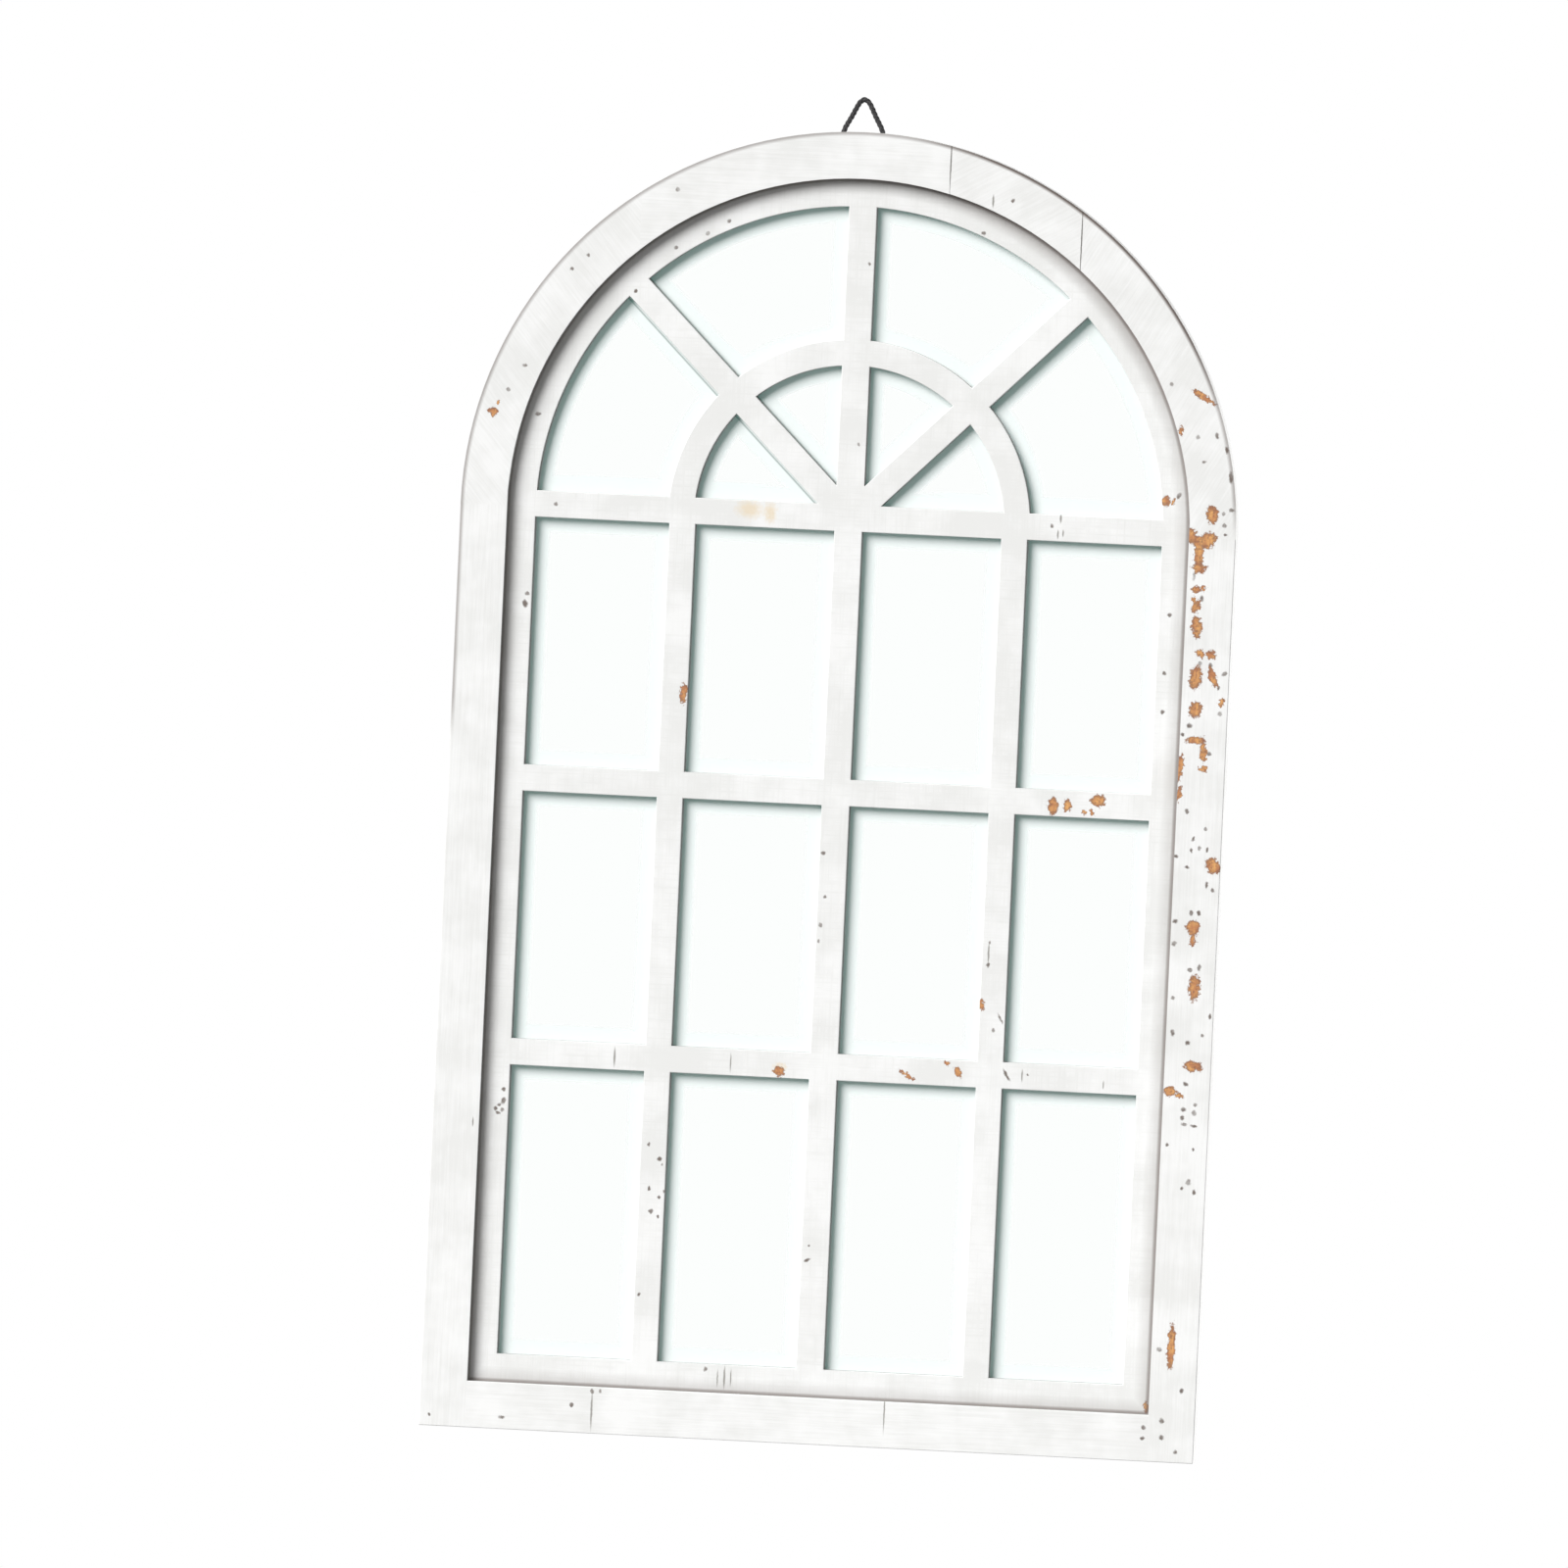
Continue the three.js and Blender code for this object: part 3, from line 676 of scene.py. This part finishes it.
def round_edges(bm, edges, radius):
    """Rounds off some edges of a solid."""
    bmesh.ops.bevel(
        bm,
        geom=edges,
        offset=radius,
        affect="EDGES",
        segments=3,
        profile=0.5,
        material=-1,
        clamp_overlap=True,
    )


def add_piece(name, bm, material, nodes):
    """Makes a bmesh a piece of the mirror that stands for some CAD nodes."""
    for face in bm.faces:
        face.smooth = True
    for edge in bm.edges:
        edge.smooth = edge.calc_face_angle(math.pi) < SHARP
    mesh = bpy.data.meshes.new(name)
    bm.to_mesh(mesh)
    bm.free()
    mesh.materials.append(material)
    if mesh.has_custom_normals:
        # a copy of a CAD node brings flat normals that no longer fit its rounded edges
        mesh.attributes.remove(mesh.attributes["custom_normal"])
    piece = bpy.data.objects.new(name, mesh)
    bpy.context.scene.collection.objects.link(piece)
    even = piece.modifiers.new("even shading", "WEIGHTED_NORMAL")
    even.keep_sharp = True
    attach(piece, "root")
    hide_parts(*nodes)
    return piece


def arc(radius, start, end, steps=24):
    """Points on a circle about the arch's centre, as complex numbers of X and Z, ends included."""
    centre = complex(0, CENTRE_Z)
    return [
        centre + radius * complex(math.cos(angle), math.sin(angle))
        for angle in (start + (end - start) * i / steps for i in range(steps + 1))
    ]


def window_outline(radius, bottom):
    """A window-shaped outline: upright sides with half a circle on top."""
    return [complex(-radius, bottom), complex(radius, bottom), *arc(radius, 0, math.pi, ARCH_STEPS)]


class BarEdge:
    """One straight edge of a bar that runs out from the hub of the fan."""

    def __init__(self, angle, offset):
        self.way = complex(math.cos(angle), math.sin(angle))
        self.start = HUB + 1j * offset * self.way

    def at_radius(self, radius):
        """Where the edge crosses a circle about the arch's centre."""
        local = (self.start - complex(0, CENTRE_Z)) / self.way
        return self.start + self.way * (math.sqrt(radius**2 - local.imag**2) - local.real)

    def meets(self, other):
        """Where the edge crosses another bar's edge."""
        apart = (other.start - self.start) / other.way
        way = self.way / other.way
        return self.start + self.way * apart.imag / way.imag


def angle_at(point):
    """Direction from the arch's centre to a point."""
    offset = point - complex(0, CENTRE_Z)
    return math.atan2(offset.imag, offset.real)


def straight_panes(margin):
    """Outlines of the panes below the spring bar, drawn in by a margin."""
    sides = [-PANE_RADIUS]
    for low, high in MUNTINS:
        sides += [low.x, high.x]
    sides.append(PANE_RADIUS)
    levels = [PANE_BOTTOM]
    for low, high in CROSS_BARS:
        levels += [low.z, high.z]
    return [
        [
            complex(x0 + margin, z0 + margin),
            complex(x1 - margin, z0 + margin),
            complex(x1 - margin, z1 - margin),
            complex(x0 + margin, z1 - margin),
        ]
        for x0, x1 in zip(sides[0::2], sides[1::2])
        for z0, z1 in zip(levels[0::2], levels[1::2])
    ]


def fan_panes(margin):
    """Outlines of the panes above the spring bar, inside the ring and outside it, drawn in."""
    spring_bar = (CROSS_BARS[2][1].z - CROSS_BARS[2][0].z) / 2
    centre_bar = (MUNTINS[1][1].x - MUNTINS[1][0].x) / 2
    spoke = SPOKE_WIDTH / 2
    halves = [half + margin for half in (spring_bar, spoke, centre_bar, spoke, spring_bar)]
    outlines = []
    for i in range(4):
        first = BarEdge(i * math.pi / 4, halves[i])
        second = BarEdge((i + 1) * math.pi / 4, -halves[i + 1])
        inside = [edge.at_radius(RING_INNER - margin) for edge in (first, second)]
        outlines.append([first.meets(second), *arc(RING_INNER - margin, *map(angle_at, inside))])
        outer = [edge.at_radius(PANE_RADIUS - margin) for edge in (first, second)]
        inner = [edge.at_radius(RING_OUTER + margin) for edge in (second, first)]
        outlines.append(
            arc(PANE_RADIUS - margin, *map(angle_at, outer))
            + arc(RING_OUTER + margin, *map(angle_at, inner))
        )
    return outlines


def pane_outlines(margin=0.0):
    """Outlines of all the panes, drawn in by a margin."""
    return straight_panes(margin) + fan_panes(margin)


def draw_loop(bm, outline, y):
    """A closed loop of edges through an outline's points, at one depth."""
    verts = [bm.verts.new((point.real, y, point.imag)) for point in outline]
    return [bm.edges.new((verts[i - 1], vert)) for i, vert in enumerate(verts)]


def sheet_with_openings(outline, openings, y):
    """A flat face with openings, and the loops of edges round the openings."""
    bm = bmesh.new()
    rim = draw_loop(bm, outline, y)
    loops = [draw_loop(bm, opening, y) for opening in openings]
    bmesh.ops.triangle_fill(bm, use_beauty=True, edges=sum(loops, rim), normal=(0, -1, 0))
    return bm, loops


def thicken_back(bm, faces, depth):
    """Gives a flat sheet a thickness towards the wall, and turns its faces outwards."""
    grown = bmesh.ops.extrude_face_region(bm, geom=faces, use_keep_orig=True)["geom"]
    moved = [item for item in grown if isinstance(item, bmesh.types.BMVert)]
    bmesh.ops.translate(bm, verts=moved, vec=(0, depth, 0))
    bmesh.ops.recalc_face_normals(bm, faces=bm.faces)
    if not all(edge.is_manifold for edge in bm.edges):
        raise RuntimeError("a sheet isn't closed")


# ---------------------------------------------------------------- settings

def colour_setting(name, hex_colour, description):
    """A colour that a user may change."""
    return FloatVectorProperty(
        name=name, description=description, subtype="COLOR", size=4, min=0, max=1,
        default=linear(hex_colour),
    )


def length_setting(name, millimetres, description):
    """A length that a user may change."""
    return FloatProperty(
        name=name, description=description, unit="LENGTH", min=0, default=millimetres * MM
    )


def angle_setting(name, degrees, description):
    """An angle that a user may change."""
    return FloatProperty(
        name=name, description=description, subtype="ANGLE", default=math.radians(degrees)
    )


class PaintSettings(bpy.types.PropertyGroup):
    paint: colour_setting("Paint", "F8F8F7", "White paint where it lies thick")
    thin_paint: colour_setting("Thin paint", "ECECEA", "White paint where it is brushed thin")
    # painted shade: dark grey on the side walls of the bars, of the lip and of the arch
    painted_wall_shade: colour_setting("Dull paint", "686866", "Paint that no brush or cloth reached")
    wood: colour_setting("Wood", "E5AC6C", "Bare wood inside a chip")
    rust: colour_setting("Rust", "B87A56", "Rusty stain on bare wood")
    rim: colour_setting("Chip rim", "8C6450", "Dark rim of a chip")
    speck: colour_setting("Speck", "6C6058", "Dark specks")
    crack: colour_setting("Crack", "96938E", "Hairline cracks")
    stain: colour_setting("Stain", "EBD9BA", "Soft stains")
    # painted shade mixed with grime, in the corners along the lip and on the arch's arris
    shade_and_grime: colour_setting("Grime", "6A5C56", "Dirt in corners and on the arch's arris")
    back_wood: colour_setting("Back wood", "D8B98C", "Unpainted back of the boards")
    back_grain: colour_setting("Back grain", "B58D5E", "Dark grain on the unpainted back")
    raggedness: length_setting("Raggedness", 9, "How far a chip's outline wanders")
    board_edge: length_setting("Board edge", 0.8, "Radius of the frame's edges")
    bar_edge: length_setting("Bar edge", 0.7, "Radius of the lattice's edges")


class GlassSettings(bpy.types.PropertyGroup):
    silver: colour_setting("Silver", "FCFEFD", "What the clean mirror sends back")
    dust: colour_setting("Dust", "FFFFFF", "Film of dust along the bars")
    # painted contact shade: a thin dark line along each side of the left spoke
    spoke_shade_colour: colour_setting("Caked dust", "3C3C3A", "Dark line along the left spoke")
    depth_tint: colour_setting("Depth tint", "5CFFE6", "Green depth of the glass under the dust")
    film_gloss: FloatProperty(
        name="Film gloss", description="Sets how much glass shows through the dust", default=1.0
    )
    dust_width: length_setting("Dust width", 13, "Width of the film along the bars")


class BackSettings(bpy.types.PropertyGroup):
    board: colour_setting("Hardboard", "9A7650", "Hardboard")
    board_shade: colour_setting("Hardboard shade", "6B4D31", "Darker fibres of the hardboard")
    steel: colour_setting("Steel", "96989A", "Zinc-plated steel")
    steel_shade: colour_setting("Steel shade", "707275", "Darker spangles of the zinc")
    dowel: colour_setting("Dowel", "D9B988", "Beech")
    dowel_shade: colour_setting("Dowel fleck", "B58F5E", "Darker flecks of the beech")
    metal_edge: length_setting("Metal edge", 0.15, "Radius of the edges of points and staples")


class CordSettings(bpy.types.PropertyGroup):
    cord: colour_setting("Cord", "2E2E30", "Dark strands of the cord")
    cord_fibre: colour_setting("Cord fibre", "8C8A88", "Pale fibres on the strands")
    diameter: length_setting("Diameter", 4.2, "Diameter over the strands")
    lay_length: length_setting("Lay length", 11, "Length in which a strand turns once")
    strands: IntProperty(name="Strands", description="Strands in the cord", default=3, min=2)


class StageSettings(bpy.types.PropertyGroup):
    azimuth: angle_setting("Azimuth", 5.0, "Camera's turn to the right")
    elevation: angle_setting("Elevation", 1.5, "Camera's height above level")
    roll: angle_setting("Roll", 2.64, "Camera's roll, against the clock")
    distance: length_setting("Distance", 20000, "Camera's distance")
    view_width: length_setting("View width", 1208.4, "Width of the picture at the mirror")
    key_level: FloatProperty(
        name="Key level", description="Brightness of a white front face from the key lamp",
        default=0.8,
    )
    fill_level: FloatProperty(
        name="Fill level", description="Brightness of a white back from the fill lamp",
        default=0.68,
    )
    ambient: FloatProperty(
        name="Ambient", description="Brightness that the surroundings give", default=0.2
    )
    floor: colour_setting("Floor", "E0E0DE", "Studio floor")


# ---------------------------------------------------------------- the stage

AIM = Vector((-39.8 * MM, FRAME_FRONT, -490.5 * MM))  # what the camera looks at
KEY_TOWARDS = Vector((-0.8, -1, 0.72))  # the key lamp stands in front, to the left and up
FILL_TOWARDS = Vector((0.85, 1, -0.1))  # the fill lamp stands behind, to the right
KEY_SPREAD, FILL_SPREAD = math.radians(38), math.radians(60)  # how soft their light is
LAMP_DISTANCE = 3.0
FLOOR_HALF = Vector((1.0, 0.75, 0.02))  # half of the floor's width, depth and thickness
FLOOR_DROP = 1.0  # how far below the mirror the floor lies


class WINDOW_MIRROR_OT_stage(bpy.types.Operator):
    """Add the camera, soft studio lamps, pale surroundings and a floor"""

    bl_idname = "window_mirror.stage"
    bl_label = "Stage"

    def execute(self, context):
        settings = context.scene.mirror_stage
        self.add_camera(context.scene, settings)
        self.add_lamp("key_lamp", KEY_TOWARDS.normalized(), settings.key_level, KEY_SPREAD)
        self.add_lamp("fill_lamp", FILL_TOWARDS.normalized(), settings.fill_level, FILL_SPREAD)
        self.add_surroundings(context.scene, settings)
        self.add_floor(settings)
        context.scene.view_settings.view_transform = "Standard"
        return {"FINISHED"}

    def add_camera(self, scene, settings):
        level = math.cos(settings.elevation)
        back = Vector(
            (
                math.sin(settings.azimuth) * level,
                -math.cos(settings.azimuth) * level,
                math.sin(settings.elevation),
            )
        )
        data = bpy.data.cameras.new("camera")
        data.lens = data.sensor_width * settings.distance / settings.view_width
        data.clip_end = 100
        camera = bpy.data.objects.new("camera", data)
        camera.location = AIM + back * settings.distance
        camera.rotation_mode = "QUATERNION"
        upright = back.to_track_quat("Z", "Y")
        camera.rotation_quaternion = upright @ Quaternion((0, 0, 1), settings.roll)
        scene.collection.objects.link(camera)
        scene.camera = camera

    def add_lamp(self, name, towards, level, spread):
        """A far soft lamp that gives the side of the mirror where it stands this brightness."""
        data = bpy.data.lights.new(name, "SUN")
        data.energy = math.pi * level / abs(towards.y)
        data.angle = spread
        lamp = bpy.data.objects.new(name, data)
        lamp.location = towards * LAMP_DISTANCE
        lamp.rotation_euler = towards.to_track_quat("Z", "Y").to_euler()
        bpy.context.scene.collection.objects.link(lamp)

    def add_surroundings(self, scene, settings):
        """Pale surroundings, white where the camera, the mirror or glass looks at them."""
        world = bpy.data.worlds.new("surroundings")
        world.use_nodes = True
        tree = world.node_tree
        tree.nodes.clear()
        path = tree.nodes.new("ShaderNodeLightPath")
        seen = path.outputs["Is Camera Ray"]
        for ray in ("Is Glossy Ray", "Is Transmission Ray"):
            seen = add_node(
                tree, "ShaderNodeMath", {0: seen, 1: path.outputs[ray]}, operation="MAXIMUM"
            )
        strength = add_node(
            tree, "ShaderNodeMapRange", {"Value": seen, "To Min": settings.ambient, "To Max": 1.0}
        )
        white = add_node(
            tree, "ShaderNodeBackground", {"Color": (1, 1, 1, 1), "Strength": strength}
        )
        add_node(tree, "ShaderNodeOutputWorld", {"Surface": white})
        scene.world = world

    def add_floor(self, settings):
        middle = Vector((0, 0, FRAME_BOTTOM - FLOOR_DROP - FLOOR_HALF.z))
        bm = bmesh.new()
        bmesh.ops.create_cube(bm, size=2)
        bmesh.ops.scale(bm, verts=bm.verts, vec=FLOOR_HALF)
        bmesh.ops.translate(bm, verts=bm.verts, vec=middle)
        mesh = bpy.data.meshes.new("floor")
        bm.to_mesh(mesh)
        bm.free()
        mesh.materials.append(make_material(studio_floor, settings))
        floor = bpy.data.objects.new("floor", mesh)
        bpy.context.scene.collection.objects.link(floor)


# ---------------------------------------------------------------- the cord

# One half of the loop, from the nail down to the end in its groove, in mm: distance from the
# loop's middle, and height above the top of the arch.
CORD_HALF = [
    (0, 25), (3.4, 22.9), (5.9, 18.7), (8.9, 12.6), (11.7, 7.4), (13.9, 3.2), (15.5, -2),
    (16.2, -8), (16.2, -15), (16.2, -22),
]
LOOP_MIDDLE_X = -3.5 * MM
CORD_Y = -3.8 * MM
CORD_STEPS = 12  # points between two of the route's own
STRAND_PRESS = 1.2  # how much thicker a strand is than one that just touches its neighbours


def cord_route():
    """Points along the middle of the cord, from its left end to its right end."""
    halves = [(-x, z) for x, z in reversed(CORD_HALF)] + CORD_HALF[1:]
    points = [Vector((LOOP_MIDDLE_X + x * MM, CORD_Y, ARCH_TOP + z * MM)) for x, z in halves]
    ends = [points[0] * 2 - points[1], *points, points[-1] * 2 - points[-2]]
    route = []
    for before, start, end, after in zip(ends, ends[1:], ends[2:], ends[3:]):
        handles = start + (end - before) / 6, end - (after - start) / 6
        route += interpolate_bezier(start, *handles, end, CORD_STEPS + 1)[:-1]
    return [*route, points[-1]]


class WINDOW_MIRROR_OT_cord(bpy.types.Operator):
    """Add the twisted cord loop at the top"""

    bl_idname = "window_mirror.cord"
    bl_label = "Cord"

    def execute(self, context):
        settings = context.scene.mirror_cord
        route = cord_route()
        steps = [(b - a).length for a, b in zip(route, route[1:])]
        twisted = bpy.data.curves.new("cord_strands", "CURVE")
        twisted.dimensions = "3D"
        touching = settings.diameter / 2 / (1 + 1 / math.sin(math.pi / settings.strands))
        strand_radius = touching * STRAND_PRESS
        offset = settings.diameter / 2 - strand_radius
        twisted.bevel_depth = strand_radius
        twisted.bevel_resolution = 3
        twisted.use_fill_caps = True
        for strand in range(settings.strands):
            line = twisted.splines.new("POLY")
            line.points.add(len(route) - 1)
            travelled = 0.0
            for i, point in enumerate(route):
                before, after = route[max(i - 1, 0)], route[min(i + 1, len(route) - 1)]
                side = (after - before).normalized().cross(Vector((0, 1, 0)))
                turn = travelled / settings.lay_length + strand / settings.strands
                angle = 2 * math.pi * turn
                place = point + (side * math.cos(angle) + Vector((0, math.sin(angle), 0))) * offset
                line.points[i].co = (*place, 1)
                travelled += steps[i] if i < len(steps) else 0
        scratch = bpy.data.objects.new("cord_strands", twisted)
        bm = bmesh.new()
        bm.from_mesh(scratch.to_mesh())
        bpy.data.objects.remove(scratch)
        bmesh.ops.recalc_face_normals(bm, faces=bm.faces)
        material = make_material(twisted_cotton, settings)
        cord = add_piece("hanging_cord_strands", bm, material, ["hanging_cord"])
        return {"FINISHED"}


# ---------------------------------------------------------------- the painted wood

def upright_joint(left, right):
    """A joint across X, in the middle of the hairline gap between two boards."""
    return 0, (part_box(left)[1].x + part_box(right)[0].x) / 2


# A joint is the axis that it lies across, 0 for X or 2 for Z, and its place on that axis. Paint has
# filled the joints at the ends of the stiles and the left one of the arch.
FILLED_JOINTS = [
    upright_joint("frame_arch_left", "frame_arch_crown"),
    (0, -LIP_RADIUS), (0, LIP_RADIUS), (2, CENTRE_Z),
]
OPEN_JOINTS = [
    upright_joint("frame_arch_crown", "frame_arch_shoulder"),
    upright_joint("frame_arch_shoulder", "frame_arch_right"),
]
JOINT_REACH = 0.35 * MM  # a corner that lies closer than this to a joint belongs to it

# the turn of each board's grain, in degrees from upright
BOARDS = {
    "frame_left_stile": 0,
    "frame_right_stile": 0,
    "frame_bottom_rail": 90,
    "frame_arch_left": 40,
    "frame_arch_crown": 90,
    "frame_arch_shoulder": -60,
    "frame_arch_right": -30,
}


def close_joints(bm):
    """Moves the faces of filled joints together, so that the paint runs over them. An open joint
    is closed at the back alone: it stays a hairline, and lets no light through."""
    for axis, place in FILLED_JOINTS + OPEN_JOINTS:
        for vert in bm.verts:
            closed = (axis, place) in FILLED_JOINTS or vert.co.y > FRAME_BACK - SNAP
            if closed and abs(vert.co[axis] - place) < JOINT_REACH:
                vert.co[axis] = place


def is_arris(edge):
    """True for an outer edge of a board, or an edge of its front, away from the joints."""
    ends = [vert.co for vert in edge.verts]
    on_outline = all(outline_gap(point) < SNAP for point in ends)
    in_front = all(point.y < FRAME_FRONT + SNAP for point in ends)
    at_joint = any(
        all(abs(point[axis] - place) < JOINT_REACH for point in ends)
        for axis, place in FILLED_JOINTS + OPEN_JOINTS
    )
    return edge.calc_face_angle(0) > SHARP and (on_outline or in_front) and not at_joint


class WINDOW_MIRROR_OT_boards(bpy.types.Operator):
    """Add the painted boards of the outer frame"""

    bl_idname = "window_mirror.boards"
    bl_label = "Frame boards"

    def execute(self, context):
        settings = context.scene.mirror_paint
        for node, grain_turn in BOARDS.items():
            bm = merged_copy(node)
            close_joints(bm)
            round_edges(bm, [edge for edge in bm.edges if is_arris(edge)], settings.board_edge)
            marks = {kind: marks_near(places, node) for kind, places in FRAME_MARKS.items()}
            material = make_material(
                whitewashed_pine,
                settings,
                [grain_turn],
                marks,
                FRAME_FRONT,
                (OUTER_RADIUS, FRAME_BOTTOM),
                name=f"whitewashed_pine_{node}",
            )
            add_piece(f"painted_{node}", bm, material, [node])
        return {"FINISHED"}


class WINDOW_MIRROR_OT_lattice(bpy.types.Operator):
    """Add the painted lattice of glazing bars"""

    bl_idname = "window_mirror.lattice"
    bl_label = "Lattice"

    def execute(self, context):
        settings = context.scene.mirror_paint
        outline = window_outline(LATTICE_RADIUS, LATTICE_BOTTOM)
        bm, openings = sheet_with_openings(outline, pane_outlines(), LATTICE_FRONT)
        thicken_back(bm, bm.faces[:], LATTICE_BACK - LATTICE_FRONT)
        rims = [
            edge
            for edge in bm.edges
            if edge.calc_face_angle(0) > SHARP
            and all(vert.co.y < LATTICE_FRONT + SNAP for vert in edge.verts)
        ]
        round_edges(bm, rims, settings.bar_edge)
        material = make_material(
            whitewashed_pine,
            settings,
            [0, 90],
            LATTICE_MARKS,
            LATTICE_FRONT,
            (LIP_RADIUS, RAIL_TOP),
            name="whitewashed_pine_lattice",
        )
        add_piece("painted_lattice", bm, material, LATTICE_NODES)
        return {"FINISHED"}


# ---------------------------------------------------------------- glass and back

class WINDOW_MIRROR_OT_glass(bpy.types.Operator):
    """Add the mirror glass, clean in the panes and dusty along the bars"""

    bl_idname = "window_mirror.glass"
    bl_label = "Mirror glass"

    def execute(self, context):
        settings = context.scene.mirror_glass
        sheet = window_outline(GLASS_HIGH.x, GLASS_LOW.z)
        bm, rims = sheet_with_openings(sheet, pane_outlines(), GLASS_LOW.y)
        dust = bm.verts.layers.float.new("dust")
        for vert in bm.verts:
            vert[dust] = 1.0
        for rim, clean in zip(rims, pane_outlines(settings.dust_width)):
            clean_rim = draw_loop(bm, clean, GLASS_LOW.y)
            bmesh.ops.triangle_fill(bm, edges=rim + clean_rim, normal=(0, -1, 0))
            bmesh.ops.contextual_create(bm, geom=clean_rim)
        thicken_back(bm, bm.faces[:], GLASS_HIGH.y - GLASS_LOW.y)
        material = make_material(silvered_glass, settings)
        add_piece("silvered_glass_sheet", bm, material, ["mirror_glass"])
        return {"FINISHED"}


class WINDOW_MIRROR_OT_back(bpy.types.Operator):
    """Finish the hardboard, the backing points, the cord's staples and the dowels"""

    bl_idname = "window_mirror.back"
    bl_label = "Back and fasteners"

    def execute(self, context):
        settings = context.scene.mirror_back
        finishes = {
            "backing_board": make_material(screen_backed_hardboard, settings),
            "backing_point": make_material(zinc_plated_steel, settings),
            "dowel": make_material(turned_beech, settings),
        }
        finishes["cord_staple"] = finishes["backing_point"]
        for name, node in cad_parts.items():
            for start, material in finishes.items():
                if not name.startswith(start):
                    continue
                node.data.materials.clear()
                node.data.materials.append(material)
                if start in ("backing_point", "cord_staple"):
                    weld = node.modifiers.new("weld", "WELD")
                    weld.merge_threshold = SNAP
                    bevel = node.modifiers.new("edges", "BEVEL")
                    bevel.width = settings.metal_edge
                    bevel.segments = 2
                    bevel.limit_method = "ANGLE"
        return {"FINISHED"}


# ---------------------------------------------------------------- the add-on

OPERATORS = [
    WINDOW_MIRROR_OT_stage,
    WINDOW_MIRROR_OT_cord,
    WINDOW_MIRROR_OT_boards,
    WINDOW_MIRROR_OT_lattice,
    WINDOW_MIRROR_OT_glass,
    WINDOW_MIRROR_OT_back,
]
SETTINGS = {
    "mirror_stage": StageSettings,
    "mirror_cord": CordSettings,
    "mirror_paint": PaintSettings,
    "mirror_glass": GlassSettings,
    "mirror_back": BackSettings,
}


class WINDOW_MIRROR_PT_panel(bpy.types.Panel):
    """Lists the steps that dress the window mirror"""

    bl_label = "Window mirror"
    bl_idname = "WINDOW_MIRROR_PT_panel"
    bl_space_type = "VIEW_3D"
    bl_region_type = "UI"
    bl_category = "Window mirror"

    def draw(self, context):
        for operator in OPERATORS:
            self.layout.operator(operator.bl_idname)
        for name, group in SETTINGS.items():
            box = self.layout.box()
            for setting in group.__annotations__:
                box.prop(getattr(context.scene, name), setting)


def register():
    for cls in (*SETTINGS.values(), *OPERATORS, WINDOW_MIRROR_PT_panel):
        bpy.utils.register_class(cls)
    for name, group in SETTINGS.items():
        setattr(bpy.types.Scene, name, PointerProperty(type=group))


def unregister():
    for name in SETTINGS:
        delattr(bpy.types.Scene, name)
    for cls in (WINDOW_MIRROR_PT_panel, *reversed(OPERATORS), *reversed(SETTINGS.values())):
        bpy.utils.unregister_class(cls)


def main():
    register()
    bpy.ops.window_mirror.stage()
    bpy.ops.window_mirror.cord()
    bpy.ops.window_mirror.boards()
    bpy.ops.window_mirror.lattice()
    bpy.ops.window_mirror.glass()
    bpy.ops.window_mirror.back()


if __name__ == "__main__":
    main()
